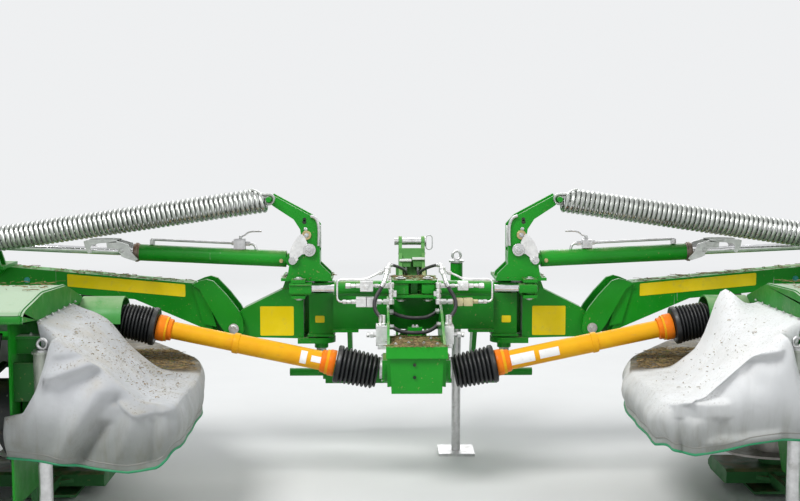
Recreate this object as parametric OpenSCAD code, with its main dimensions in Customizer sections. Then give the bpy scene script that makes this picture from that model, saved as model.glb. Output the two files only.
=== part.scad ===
// Rear-mounted double-wing disc mower conditioner, parked on its skids and stands.
// Millimetres. X runs across the machine, Y towards the tractor end, Z up from the ground.
// Both wings share one set of modules, drawn for the +X side and mirrored for the -X side.

/* [Headstock] */
// Distance of each upright swing pin from the middle
swing_x = 400; // [380:1:410]
// Height of the main beam's underside
beam_z0 = 590; // [585:1:595]
// Height of the main beam's top
beam_z1 = 740; // [735:1:742]
// Height of the lower link pins
lower_pin_z = 330; // [320:5:360]
// Radius of the lower link pins
lower_pin_r = 18.3; // [14:0.1:18.4]
// Height of the top link pin
top_pin_z = 941; // [935:1:945]

/* [Wing arm] */
// Distance of the fold pin from the middle
hinge_x = 773; // [768:1:778]
// Height of the fold pin
hinge_z = 595; // [590:1:600]
// Rise of the arm for each millimetre outward
arm_slope = 0.092; // [0.088:0.001:0.096]
// Height of the arm's box section
arm_h = 92; // [86:1:96]

/* [Cylinders and spring] */
// Angle of the lift cylinder at rest
lift_angle = 2.64; // [2.4:0.01:2.8]
// Distance between the lift cylinder's two pins at rest
lift_len = 1281; // [1276:1:1284]
// Radius of the lift cylinder's barrel
lift_r = 35; // [30:1:35]
// Outer diameter of the relief spring
spring_od = 104; // [90:1:106]
// Thickness of the relief spring's wire
spring_wire = 14; // [10:1:16]

/* [Drive] */
// Distance of the inner cross joint from the middle
shaft_in_x = 236; // [234:1:238]
// Height of the inner cross joint
shaft_in_z = 490; // [488:1:492]
// Distance of the outer cross joint from the middle
shaft_out_x = 1122; // [1120:1:1124]
// Height of the outer cross joint
shaft_out_z = 677; // [675:1:679]

/* [Mowing unit] */
// Distance of the unit's middle from the machine's middle
unit_x = 2780; // [2775:1:2785]
// Spacing of the discs
disc_pitch = 440; // [436:1:444]
// Height of the disc plates
disc_z = 150; // [150:1:152]
// Height of the conditioner rotor's axis
rotor_z = 470; // [465:1:475]
// Radius to the tips of the conditioner's tines
rotor_r = 290; // [270:1:295]

/* [Hidden] */
$fn = 48;
origin_y = -510;
wall = 8;
pin_fit = 0.05;
// Planes across the machine, as distances from the swing axis
swing_cyl_y = -215;
swing_cyl_z = 786;
lift_y = -120;
spring_y = -225;
drive_y = -430;
rotor_y = -990;
// Main points of the wing, as X and Z
hinge = [hinge_x, hinge_z];
lift_pin = [510, 899];
lift_eye = lift_pin + lift_len * [cos(lift_angle), sin(lift_angle)];
spring_in = [602, 1159];
spring_out = [2300, 913];
spring_len = norm(spring_out - spring_in);
spring_angle = atan2(spring_out.y - spring_in.y, spring_out.x - spring_in.x);
shaft_in = [shaft_in_x, shaft_in_z];
shaft_out = [shaft_out_x, shaft_out_z];
shaft_angle = atan2(shaft_out.y - shaft_in.y, shaft_out.x - shaft_in.x);
// The unit's ends: the hood's edge, and the end plates that carry the rotor
hood_x0 = 1330;
hood_x1 = 2 * unit_x - hood_x0;
hood_sheet = 6;
end_x0 = 1390;
end_x1 = 2 * unit_x - end_x0;
disc_x = [for (i = [-3:3]) unit_x + i * disc_pitch];
// Guard curtains: their hanging height, and half of their plan from the rear inner corner to the front, as X and Y
curtain_z0 = 300;
curtain_z1 = 508;
curtain_t = 8;
curtain_half = [[1380, -1194], [880, -1194], [854, -1150], [854, -600], [900, -345], [1150, 60], [1400, 300],
                [1500, 346]];
// The slope of the end curtain from the unit's inner edge up to the hood, as X and Z
roof_line = [[854, 504], [960, 520], [1110, 655], [1200, 700], [1324, 772]];
swing_eye_x = 483;
anchor_x = 57;
leg_x = 197;
leg_y = 107;
stand_x = 1292;
stand_y = -1150;
// Valves on the headstock: the plane of the two lines, and their heights
valve_y = -288;
valve_up_z = 805;
valve_low_z = 739;
// Hood outline from front to back, as Y and Z
hood_line = [[-150, 600], [-300, 690], [-460, 786], [-700, 860], [-1010, 873], [-1240, 840], [-1350, 740],
             [-1367, 560], [-1367, 480]];
// Lower edge of the hood's end caps, from back to front, as Y and Z
cap_edge = [[-1345, 560], [-1325, 730], [-1225, 800], [-1100, 790], [-690, 764], [-500, 766]];
// End plates that carry the rotor and the cutterbar, as Y and Z
end_plate = [[-50, 480], [-50, 570], [-500, 575], [-520, 790], [-700, 852], [-1010, 865], [-1180, 840],
             [-1180, 180], [-1150, 150], [-740, 150], [-640, 330], [-520, 480]];
// Tower outline, as X and Z
tower_line = [[345, 812], [548, 812], [532, 835], [524, 886], [502, 940], [474, 1000], [478, 1030],
              [505, 1072], [590, 1128], [614, 1150], [596, 1176], [432, 1087], [396, 1047],
              [396, 885], [352, 842]];
// Carrier outline, as X and Z
carrier_line = [[475, 545], [773, 553], [773, 640], [734, 676], [567, 759], [548, 812], [475, 812]];
carrier_pocket = [[490, 560], [700, 566], [700, 672], [560, 742], [540, 790], [490, 790]];
// Fork plate outline, as X and Z
fork_line = [[731, 595], [736, 640], [757, 680], [802, 739], [858, 799], [888, 808], [915, 801],
             [950, 786], [917, 762], [834, 609], [800, 563]];

sides = [-1, 1];
side_nodes = ["carrier", "lock_plate", "arm", "swing_cylinder", "swing_rod", "lift_cylinder", "lift_lock",
              "lift_rod", "spring", "shaft_boot_in", "shaft_inner", "shaft_boot_out", "shaft_outer",
              "unit_frame", "hood", "cutterbar", "curtain", "disc_1", "disc_2", "disc_3", "disc_4",
              "disc_5", "disc_6", "disc_7", "tine_rotor", "unit_stand"];

green = [0.14, 0.52, 0.2];
pale_green = [0.3, 0.66, 0.36];
zinc = [0.75, 0.75, 0.76];
orange = [1, 0.62, 0.08];
black = [0.16, 0.16, 0.17];
canvas = [0.78, 0.79, 0.78];
steel = [0.5, 0.5, 0.52];

// Height of the arm's top at a distance from the middle
function arm_top(x) = 787 + (x - 940) * arm_slope;
// Unit normal on the left of the step from a to b
function left_of(a, b) = [a.y - b.y, b.x - a.x] / norm(b - a);
// Normal at a point of a bent line, longer at sharp bends so that the band keeps its thickness
function miter(ps, i) =
    i == 0 ? left_of(ps[0], ps[1])
    : i == len(ps) - 1 ? left_of(ps[i - 1], ps[i])
    : let (a = left_of(ps[i - 1], ps[i]), b = left_of(ps[i], ps[i + 1])) (a + b) / (1 + a * b);
// Outline of a sheet of thickness t bent along the points
function band(ps, t) = concat([for (i = [0:len(ps) - 1]) ps[i] + miter(ps, i) * t / 2],
                              [for (i = [len(ps) - 1:-1:0]) ps[i] - miter(ps, i) * t / 2]);

module place() translate([0, -origin_y, 0]) children();
module on_side(s) mirror([s < 0 ? 1 : 0, 0, 0]) children();
// A plate drawn in X and Z, from y0 to y1
module plate_xz(y0, y1) translate([0, y1, 0]) rotate([90, 0, 0]) linear_extrude(y1 - y0) children();
// A plate drawn in X and Y, from z0 to z1
module plate_xy(z0, z1) translate([0, 0, z0]) linear_extrude(z1 - z0) children();
// A plate drawn in Y and Z, from x0 to x1
module plate_yz(x0, x1) translate([x0, 0, 0]) rotate([90, 0, 90]) linear_extrude(x1 - x0) children();
module box(p0, p1) translate(p0) cube(p1 - p0);
module bar_x(x0, x1, r, y, z) translate([x0, y, z]) rotate([0, 90, 0]) cylinder(r = r, h = x1 - x0);
module bar_y(y0, y1, r, x, z) translate([x, y0, z]) rotate([-90, 0, 0]) cylinder(r = r, h = y1 - y0);
module bar_z(z0, z1, r, x, y) translate([x, y, z0]) cylinder(r = r, h = z1 - z0);
// A round bar between any two points
module rod(a, b, r) {
    d = b - a;
    translate(a) rotate([0, acos(d.z / norm(d)), atan2(d.y, d.x)]) cylinder(r = r, h = norm(d), $fn = 24);
}
// A pipe in straight lengths, with a square elbow block at each corner
module pipe(ps, r, elbow) {
    for (i = [1:len(ps) - 1]) rod(ps[i - 1], ps[i], r);
    for (i = [1:len(ps) - 2]) translate(ps[i]) cube(2 * elbow, center = true);
}
// Two round ends joined by their common outside lines
module link(a, ra, b, rb) {
    d = b - a;
    turn = atan2(d.y, d.x);
    off = acos((ra - rb) / norm(d));
    keep = 0.995;
    translate(a) circle(r = ra);
    translate(b) circle(r = rb);
    polygon([for (k = [1, -1]) a + keep * ra * [cos(turn + k * off), sin(turn + k * off)],
             for (k = [-1, 1]) b + keep * rb * [cos(turn + k * off), sin(turn + k * off)]]);
}
// The same plan seen from the unit's other end
function opposite(ps) = [for (i = [len(ps) - 1:-1:0]) [2 * unit_x - ps[i].x, ps[i].y]];
curtain_plan = concat(curtain_half, opposite(curtain_half));
// A rounded tube along smooth points: rings of the frame that is carried from point to point
hose_sides = 8;
function unit(v) = v / norm(v);
function course(ps, i) = unit(ps[min(i + 1, len(ps) - 1)] - ps[max(i - 1, 0)]);
function across(ps, i) = let (d = course(ps, i))
    i == 0 ? unit(cross(d, abs(d.z) < 0.9 ? [0, 0, 1] : [1, 0, 0]))
    : let (n = across(ps, i - 1)) unit(n - (n * d) * d);
function ring(ps, i, r) = let (n = across(ps, i), b = cross(course(ps, i), n))
    [for (k = [0:hose_sides - 1]) ps[i] + r * (cos(k * 360 / hose_sides) * n + sin(k * 360 / hose_sides) * b)];
module hose(ps, r) {
    last = (len(ps) - 1) * hose_sides;
    polyhedron(
        points = [for (i = [0:len(ps) - 1]) each ring(ps, i, r)],
        faces = concat([[for (k = [0:hose_sides - 1]) k]],
                       [for (i = [0:len(ps) - 2], k = [0:hose_sides - 1])
                           let (m = (k + 1) % hose_sides, a = i * hose_sides, b = a + hose_sides)
                           [a + k, b + k, b + m, a + m]],
                       [[for (k = [hose_sides - 1:-1:0]) last + k]]));
}
// Moves a shape drawn along +X to start at a point of the X-Z plane and point along an angle
module along(p, y, angle) translate([p.x, y, p.y]) rotate([0, -angle, 0]) children();
// A ring that stands up, with its axis along Y
module eye_ring(x, y, z, r, wire) translate([x, y, z]) rotate([90, 0, 0])
    rotate_extrude() translate([r, 0]) circle(r = wire, $fn = 24);

// Main beam, swing columns and the lower hitch
module headstock_frame() color(green) place() {
    beam_y = 75;
    foot = [[60, beam_z1 - 10], [150, 700], [345, 375], [345, 285], [255, 285], [255, 350], [60, 600]];
    difference() {
        union() {
            box([-346, -beam_y, beam_z0], [346, beam_y, beam_z1]);
            for (s = sides) on_side(s) {
                box([346, -50, 561], [450, 50, 744]);
                box([340, -60, 555], [456, 60, 565]);
                box([236, -112, 582], [346, -70, 592]);
            }
        }
        box([-338, -beam_y + wall, beam_z0 + wall], [338, beam_y - wall, beam_z1 - wall]);
        for (s = sides) bar_z(540, 760, 30 + pin_fit, s * swing_x, 0);
    }
    for (s = sides) on_side(s) {
        plate_yz(270, 290) polygon(foot);
        bar_x(395, 562, lower_pin_r, 300, lower_pin_z);
        bar_x(396, 408, 34, 300, lower_pin_z);
    }
    difference() {
        box([-396, 255, 285], [396, 345, 375]);
        box([-388, 263, 293], [388, 337, 367]);
    }
    // Anchor plates of the two swing cylinders, with their pins
    anchor_line = [[-95, -60], [-95, -232], [-77, -250], [77, -250], [95, -232], [95, -60]];
    for (z = [750, 811]) plate_xy(z, z + 11) polygon(anchor_line);
    for (s = sides) on_side(s) box([78, -290, 750], [89, -230, 761]);
    box([-95, -75, beam_z1 - 5], [95, -50, 822]);
    box([-14, -200, 755], [14, -70, 815]);
    for (s = sides) {
        bar_z(745, 828, 12, s * anchor_x, swing_cyl_y);
        bar_z(738, 746, 19, s * anchor_x, swing_cyl_y);
    }
    // Sleeve of the parking leg
    difference() {
        union() {
            bar_z(600, 858, 27, leg_x, leg_y);
            box([leg_x - 20, 70, 610], [leg_x + 20, 90, 730]);
        }
        bar_z(590, 870, 20.3, leg_x, leg_y);
    }
    // U bracket that carries the centre gearbox, with the hooks that hold the shafts when they are off
    for (s = sides) on_side(s) {
        difference() {
            plate_yz(105, 115) polygon([[-70, 595], [-70, 735], [-330, 700], [-566, 604], [-566, 440], [-330, 440]]);
            bar_x(100, 120, 62, drive_y, shaft_in_z);
        }
        box([115, -542, 530], [134, -530, 540]);
        box([127, -542, 456], [135, -530, 540]);
        box([127, -556, 456], [135, -530, 464]);
    }
    difference() {
        box([-108, -566, 596], [108, -330, 604]);
        for (x = [-62, 0, 62]) bar_z(590, 610, x == 0 ? 16 : 9, x, -500);
    }
    box([-30, -345, 604], [30, -325, 640]);
}

// Upper hitch mast with its two ears, its legs down to the hitch tube and two clamps for hoses
module top_mast() color(pale_green) place() {
    difference() {
        union() {
            for (s = sides) on_side(s) {
                plate_yz(44, 59) {
                    polygon([[-48, 740], [330, 740], [330, 830], [274, 935], [226, 935], [150, 830], [-48, 775]]);
                    translate([250, top_pin_z]) circle(r = 25);
                }
                plate_yz(59, 71) polygon([[262, 820], [322, 820], [342, 375], [292, 375]]);
            }
            box([-59, 196, 784], [59, 208, 915]);
            box([-50, -48, 740], [50, 320, 752]);
        }
        bar_x(-80, 80, 16.1, 250, top_pin_z);
    }
    box([6, 168, 834], [50, 197, 864]);
    box([-50, 168, 834], [-6, 197, 858]);
}

// Pin of the top link, with its collar and its loop handle
module top_link_pin() color(zinc) place() {
    bar_x(-78, 66, 15.9, 250, top_pin_z);
    bar_x(60, 66, 22, 250, top_pin_z);
    difference() {
        plate_xz(246, 254) link([80, top_pin_z - 22], 17, [80, top_pin_z + 14], 17);
        plate_xz(240, 260) link([80, top_pin_z - 22], 12, [80, top_pin_z + 14], 12);
    }
}

// Gearbox in the middle, its side outputs and the shaft to the tractor
module centre_gearbox() color(green) place() {
    difference() {
        union() {
            plate_yz(-98, 98) polygon([[-560, 432], [-532, 405], [-358, 405], [-330, 432], [-330, 596], [-560, 596]]);
            bar_y(-330, 40, 60, 0, 500);
            bar_y(-330, -312, 84, 0, 500);
            bar_y(30, 46, 76, 0, 500);
        }
        bar_y(20, 60, 45, 0, 500);
    }
    bar_y(10, 165, 17.4, 0, 500);
    for (s = sides) on_side(s) {
        bar_x(98, 132, 60, drive_y, shaft_in_z);
        bar_x(132, 148, 38, drive_y, shaft_in_z);
    }
}

// Rear cover of the centre gearbox, a deep box with a folded lip
module gearbox_guard() color(green) place() {
    difference() {
        plate_xz(-600, -566) polygon([[-99, 420], [99, 420], [105, 600], [-105, 600]]);
        plate_xz(-594, -560) polygon([[-93, 426], [93, 426], [99, 594], [-99, 594]]);
    }
    for (s = sides) on_side(s) plate_xz(-571, -566) polygon([[99, 442], [113, 442], [117, 598], [104, 598]]);
    box([-120, -606, 598], [120, -566, 605]);
    plate_yz(-120, 120) polygon([[-606, 605], [-600, 598], [-612, 562], [-618, 562]]);
}

// Valve blocks and pipes behind the swing cylinders and on the sides of the bracket, for the +X side
module valve_set() {
    // Fitting stack that stands on the anchor plates' edge
    bar_z(728, 818, 10, 100, valve_y);
    for (z = [728, 800]) bar_z(z, z + 18, 14, 100, valve_y);
    box([78, -290, 761], [93, -262, 781]);
    // Upper and lower line, each with its block
    bar_x(100, 270, 6, valve_y, valve_up_z);
    box([167, valve_y - 17, valve_up_z - 17], [212, valve_y + 17, valve_up_z + 17]);
    for (x = [136, 228, 258]) bar_x(x, x + 14, 10, valve_y, valve_up_z);
    bar_x(100, 300, 6, valve_y, valve_low_z);
    box([150, valve_y - 19, valve_low_z - 19], [231, valve_y + 19, valve_low_z + 17]);
    for (x = [126, 246, 268]) bar_x(x, x + 12, 10, valve_y, valve_low_z);
    // Pipe that loops round to the port on top
    pipe([[298, valve_y, valve_low_z], [318, valve_y, valve_low_z], [318, valve_y, 834], [196, valve_y, 834],
          [112, valve_y - 14, 872]], 5, 8);
    pipe([[112, valve_y - 14, 872], [108, valve_y - 14, 888], [104, valve_y + 20, 890]], 7, 12);
    rod([112, valve_y - 18, 870], [127, valve_y - 34, 824], 9);
    // Block on the bracket, with its stub and its side fitting
    box([115, -412, 580], [156, -346, 655]);
    bar_z(655, 690, 7, 128, -400);
    bar_z(655, 678, 10, 140, -368);
    bar_x(156, 196, 8, -390, 618);
    bar_x(176, 192, 12, -390, 618);
}

module hydraulic_valves() color(zinc) place() for (s = sides) on_side(s) valve_set();

// Hoses held between the blocks, the pipes and the mast
hose_down = [[128, -324, 821], [142, -330, 795], [158, -338, 768], [166, -346, 742], [163, -354, 716],
             [152, -362, 698], [142, -368, 688], [140, -368, 684], [140, -368, 678.3]];
hose_up = [[28, 182, 833.7], [28, 182, 824], [28, 172, 802], [28, 145, 785], [28, 100, 778], [28, 50, 782],
           [29, 10, 800], [32, -30, 826], [36, -70, 842], [54, -140, 862], [82, -210, 880], [103.8, -264, 889.5]];
hose_wide = [[-104.8, -250, 690], [-94, -250, 690], [-66, -253, 677], [-20, -256, 667], [40, -257, 668],
             [74, -254, 680], [94, -250, 694], [104.8, -250, 694]];
hose_low = [[-104.8, -380, 648], [-94, -380, 648], [-62, -384, 632], [-15, -386, 625], [40, -386, 628],
            [72, -383, 641], [94, -380, 658], [104.8, -380, 658]];

module hoses() color(black) place() {
    for (s = sides) on_side(s) {
        hose(hose_down, 8);
        hose(hose_up, 6.5);
    }
    hose(hose_wide, 8);
    hose(hose_low, 8);
}

// Parking leg of the headstock, with its foot and its eye
module headstock_leg() color(zinc) place() {
    bar_z(5, 870, 20, leg_x, leg_y);
    box([leg_x - 80, leg_y - 80, 0], [leg_x + 80, leg_y + 80, 12]);
    bar_z(862, 870, 34, leg_x, leg_y);
    eye_ring(leg_x, leg_y, 892, 18, 6);
}

// Swing bracket with the tower that holds the spring and the lift cylinder
module carrier() color(green) place() {
    difference() {
        union() {
            plate_xz(-44, 44) polygon(carrier_line);
            bar_y(-52, 52, 42, hinge_x, hinge_z);
            for (z = [[525, 549], [752, 790]]) {
                bar_z(z[0], z[1], 62, swing_x, 0);
                box([swing_x, -62, z[0]], [500, 62, z[1]]);
            }
        }
        plate_xz(-36, 36) polygon(carrier_pocket);
        bar_y(-60, 60, 20 + pin_fit, hinge_x, hinge_z);
    }
    bar_z(500, 800, 30, swing_x, 0);
    // Plates that hold the swing cylinder's rod, the upper one being the tower's base
    box([345, -180, 812], [560, 60, 824]);
    box([455, -245, 812], [513, -170, 824]);
    box([455, -245, 746], [513, -50, 758]);
    bar_z(740, 830, 12, swing_eye_x, swing_cyl_y);
    for (y = [-178, -77]) plate_xz(y, y + 15) polygon(tower_line);
    box([396, -170, 840], [410, -70, 935]);
    bar_y(-190, -55, 18, 439, 944);
    bar_y(-186, -60, 15, lift_pin.x, lift_pin.y);
    bar_y(-258, -170, 11, spring_in.x, spring_in.y);
}

// Cam plate on the tower's side, and the lever between its plates
module lock_plate() color(zinc) place() {
    difference() {
        union() {
            plate_xz(-188, -179) {
                link([439, 944], 30, lift_pin, 20);
                polygon([[425, 968], [455, 1004], [476, 1000], [480, 960], [506, 917]]);
            }
            plate_xz(-96, -84) {
                link([439, 944], 27, [402, 990], 12);
                polygon([[390, 975], [412, 985], [410, 1040], [436, 1085], [424, 1094], [390, 1050]]);
            }
        }
        bar_y(-200, -80, 18.1, 439, 944);
        bar_y(-200, -170, 15.1, lift_pin.x, lift_pin.y);
    }
}

// Box-section arm with its fork and its anchors
module arm() color(green) place() {
    tip_x = 2900;
    outline = [[860, 572], [1201, 719], [tip_x, arm_top(tip_x) - arm_h], [tip_x, arm_top(tip_x)],
               [950, arm_top(950)], [905, 690]];
    pocket = [[1205, 729], [tip_x - 10, arm_top(tip_x) - arm_h + 8], [tip_x - 10, arm_top(tip_x) - 8],
              [965, arm_top(965) - 8], [925, 700]];
    difference() {
        union() {
            plate_xz(-50, 50) polygon(outline);
            for (y = [-76, 58]) plate_xz(y, y + 18) {
                polygon(fork_line);
                translate(hinge) circle(r = 42);
            }
            for (y = [-60, 49]) plate_xz(y, y + 11)
                polygon([[850, 600], [905, 612], [950, 770], [925, 782], [880, 700]]);
        }
        plate_xz(-42, 42) polygon(pocket);
    }
    bar_y(-84, 84, 20, hinge_x, hinge_z);
    // Anchor of the lift cylinder's rod
    foot_z = arm_top(lift_eye.x);
    box([lift_eye.x - 60, -158, foot_z - 6], [lift_eye.x + 60, 50, foot_z + 10]);
    for (y = [-158, -94]) plate_xz(y, y + 12)
        link([lift_eye.x, foot_z + 8], 52, lift_eye, 26);
    // Anchor of the spring
    box([2255, -62, 832], [2345, -49, 945]);
    bar_y(-262, -55, 13, spring_out.x, spring_out.y);
    // Fork that carries the unit
    for (y = [-64, 49]) plate_xz(y, y + 15)
        link([unit_x, 905], 70, [unit_x, 745], 48);
    bar_y(-72, 72, 25, unit_x, 745);
}

module swing_cylinder() color(green) place() {
    difference() {
        union() {
            bar_z(swing_cyl_z - 22, swing_cyl_z + 22, 26, anchor_x, swing_cyl_y);
            bar_x(anchor_x + 5, 104, 18, swing_cyl_y, swing_cyl_z);
            bar_x(100, 326, 32.5, swing_cyl_y, swing_cyl_z);
            bar_x(320, 334, 28, swing_cyl_y, swing_cyl_z);
        }
        bar_z(700, 850, 12 + pin_fit, anchor_x, swing_cyl_y);
        bar_x(130, 340, 15.3, swing_cyl_y, swing_cyl_z);
    }
}

module swing_rod() color(zinc) place() {
    difference() {
        union() {
            bar_x(206, swing_eye_x - 20, 15, swing_cyl_y, swing_cyl_z);
            bar_z(swing_cyl_z - 21, swing_cyl_z + 21, 26, swing_eye_x, swing_cyl_y);
        }
        bar_z(700, 850, 16, swing_eye_x, swing_cyl_y);
    }
}

module lift_cylinder() color(green) place() difference() {
    union() {
        bar_y(lift_y - 37, lift_y + 37, 31, lift_pin.x, lift_pin.y);
        along(lift_pin, lift_y, lift_angle) {
            bar_x(10, 60, 26, 0, 0);
            bar_x(50, 650, lift_r, 0, 0);
            bar_x(644, 676, lift_r - 3, 0, 0);
        }
    }
    bar_y(-200, -40, 15 + pin_fit, lift_pin.x, lift_pin.y);
    along(lift_pin, lift_y, lift_angle) bar_x(62, 690, 16.4, 0, 0);
}

// Transport lock on the barrel's end, with the stop tap and its pipe
module lift_lock() color(zinc) place() along(lift_pin, lift_y, lift_angle) {
    hook = [[610, -20], [700, -34], [716, -30], [722, 6], [790, 16], [846, 12], [842, -8], [856, -12],
            [874, 22], [868, 50], [730, 50], [650, 42], [610, 30]];
    for (y = [-56, 47]) plate_xz(y, y + 9) polygon(hook);
    for (x = [622, 644]) bar_y(-50, 50, 6, x, lift_r + 7);
    difference() {
        bar_x(614, 642, lift_r + 7, 0, 0);
        bar_x(610, 646, lift_r + pin_fit, 0, 0);
    }
    // Stop tap, its lever and the pipe along the barrel
    box([205, -18, lift_r + pin_fit], [250, 18, lift_r + 42]);
    bar_z(lift_r + 42, lift_r + 56, 8, 228, 0);
    pipe([[228, 0, lift_r + 54], [205, 0, lift_r + 74], [160, 0, lift_r + 80]], 4, 6);
    bar_x(250, 606, 6, 0, lift_r + 22);
    bar_x(256, 272, 11, 0, lift_r + 22);
    box([600, -11, lift_r + pin_fit], [630, 11, lift_r + 32]);
}

module lift_rod() color(zinc) place() along(lift_pin, lift_y, lift_angle) {
    bar_x(660, lift_len - 20, 16, 0, 0);
    bar_y(-20, 20, 30, lift_len, 0);
}

// Relief spring: its wound length is one ridged tube, with a hook at each end
module spring() color(zinc) place() along(spring_in, spring_y, spring_angle) {
    coil_r = (spring_od - spring_wire) / 2;
    first = 60;
    turns = 66;
    pitch = (spring_len - 150) / turns;
    rotate([0, 90, 0]) rotate_extrude() {
        translate([coil_r - 4, first]) square([5, turns * pitch]);
        for (i = [0:turns]) translate([coil_r, first + i * pitch]) circle(r = spring_wire / 2, $fn = 24);
    }
    for (x = [[13, first + 4], [first + turns * pitch - 4, spring_len - 14]]) bar_x(x[0], x[1], 7, 0, 0);
    for (x = [first - 2, first + turns * pitch - 4]) bar_x(x, x + 6, coil_r - 2, 0, 0);
}

// Ribbed boot over a cross joint, drawn about the joint with +X along the shaft
module boot(x0, x1) {
    ribs = 8;
    pitch = (x1 - x0) / ribs;
    rotate([0, 90, 0]) rotate_extrude() difference() {
        translate([0, x0]) {
            translate([60, 0]) square([12, x1 - x0]);
            for (i = [0:ribs - 1]) translate([71, (i + 0.5) * pitch]) circle(r = pitch / 2 - 1.2);
        }
        translate([0, x0 - 5]) square([62, x1 - x0 + 10]);
    }
}

module shaft_boot_in() color(black) place() along(shaft_in, drive_y, shaft_angle) boot(-84, 88);
module shaft_boot_out() color(black) place() along(shaft_out, drive_y, shaft_angle) boot(-88, 58);

// Guard tube on the inner half of the drive shaft
module shaft_inner() color(orange) place() along(shaft_in, drive_y, shaft_angle) {
    difference() {
        union() {
            bar_x(92, 505, 39, 0, 0);
            bar_x(91, 128, 50, 0, 0);
            bar_x(127, 138, 45, 0, 0);
        }
        bar_x(120, 510, 36.5, 0, 0);
    }
}

// Guard tube on the outer half, which slides inside the inner one
module shaft_outer() color(orange) place() along(shaft_out, drive_y, shaft_angle) {
    difference() {
        union() {
            bar_x(-475, -100, 35, 0, 0);
            bar_x(-132, -91, 50, 0, 0);
        }
        bar_x(-480, -110, 31, 0, 0);
    }
    bar_x(-92, -34, 30, 0, 0);
}

// Beam, drive and guards' frame of a mowing unit
module unit_frame() color(green) place() {
    tube_w = 18;
    tube_z = 480;
    inner = [[1240, -1172], [892, -1172], [874, -1140], [874, -605], [918, -355], [1165, 42], [1408, 280], [1504, 326]];
    difference() {
        box([1340, -60, 560], [4220, 60, 680]);
        box([1348, -52, 568], [4212, 52, 672]);
    }
    // Lug that hangs on the arm
    difference() {
        plate_xz(-44, 44) link([unit_x, 690], 60, [unit_x, 745], 46);
        bar_y(-60, 60, 25.3, unit_x, 745);
    }
    // Input gearbox, the tube down to the first disc, and the belt case of the rotor
    bar_x(1152, 1400, 22, drive_y, shaft_out_z);
    bar_x(1200, 1214, 70, drive_y, shaft_out_z);
    bar_x(1214, 1420, 54, drive_y, shaft_out_z);
    bar_z(586, 704, 80, disc_x[0], drive_y);
    bar_z(345, 600, 54, disc_x[0], drive_y);
    box([1430, -380, 562], [1490, -60, 588]);
    plate_yz(1346, 1384) link([drive_y, shaft_out_z], 66, [rotor_y, rotor_z], 100);
    // Pale bell over the outer boot
    difference() {
        bar_x(1160, 1326, 106, drive_y, shaft_out_z);
        bar_x(1150, 1340, 100, drive_y, shaft_out_z);
        box([1150, drive_y - 120, 500], [1340, drive_y + 120, shaft_out_z + 10]);
    }
    box([1300, drive_y - 8, shaft_out_z + 50], [1322, drive_y + 8, shaft_out_z + 103]);
    // End plates that carry the rotor and the cutterbar
    for (x = [end_x0, end_x1 - wall]) difference() {
        plate_yz(x, x + wall) polygon(end_plate);
        bar_x(x - 5, x + wall + 5, 30 + pin_fit, rotor_y, rotor_z);
    }
    // Sloping bars and the bent square tube that carry the curtains
    for (x = [1500, unit_x - 20, 4020]) plate_yz(x, x + 40) polygon([[55, 552], [326, 482], [326, 496], [55, 568]]);
    plate_xy(tube_z, tube_z + tube_w) polygon(band(concat(inner, opposite(inner)), tube_w));
    for (p = [[876, -800], [942, -320]]) {
        box([p.x, p.y - 8, tube_z + 2], [end_x0 + 4, p.y + 8, tube_z + tube_w - 2]);
        box([end_x1 - 4, p.y - 8, tube_z + 2], [2 * unit_x - p.x, p.y + 8, tube_z + tube_w - 2]);
    }
}

// Hood over the conditioner with its end caps, and the holder of the stand
module hood() color(pale_green) place() {
    plate_yz(hood_x0, hood_x1) polygon(band(hood_line, hood_sheet));
    for (x = [hood_x0, hood_x1 - wall]) plate_yz(x, x + wall)
        polygon(concat([for (i = [2:len(hood_line) - 2]) hood_line[i]], cap_edge));
    for (x = [1500, unit_x - 20, 4020]) box([x, -152, 594], [x + 40, -60, 602]);
    difference() {
        union() {
            bar_z(500, 688, 30, stand_x, stand_y);
            box([stand_x + 20, stand_y - 8, 520], [end_x0, stand_y + 8, 650]);
        }
        bar_z(490, 700, 24.3, stand_x, stand_y);
    }
    box([1283, -1112, 676], [end_x0, -1072, 732]);
}

// Flat gear bar on its skids
module cutterbar() color(steel) place() {
    bar_line = [[-560, 46], [-560, 92], [-540, 100], [-330, 100], [-290, 70], [-290, 52], [-330, 40], [-540, 40]];
    skid_line = [[-262, 66], [-285, 34], [-340, 5], [-560, 5], [-640, 30]];
    arm_w = 20;
    difference() {
        union() {
            plate_yz(1232, 4328) polygon(bar_line);
            for (x = disc_x) {
                bar_z(62, 76, 170, x, drive_y);
                bar_z(90, 138, 60, x, drive_y);
                plate_yz(x - 115, x + 115) polygon(band(skid_line, 10));
                box([x - 20, -560, 5], [x + 20, -330, 50]);
            }
            for (x = [end_x0 + wall, end_x1 - wall - arm_w]) {
                box([x, -900, 60], [x + arm_w, -540, 90]);
                box([x, -900, 60], [x + arm_w, -760, 250]);
            }
        }
        for (x = disc_x) bar_z(100, 150, 25 + pin_fit, x, drive_y);
    }
}

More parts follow.
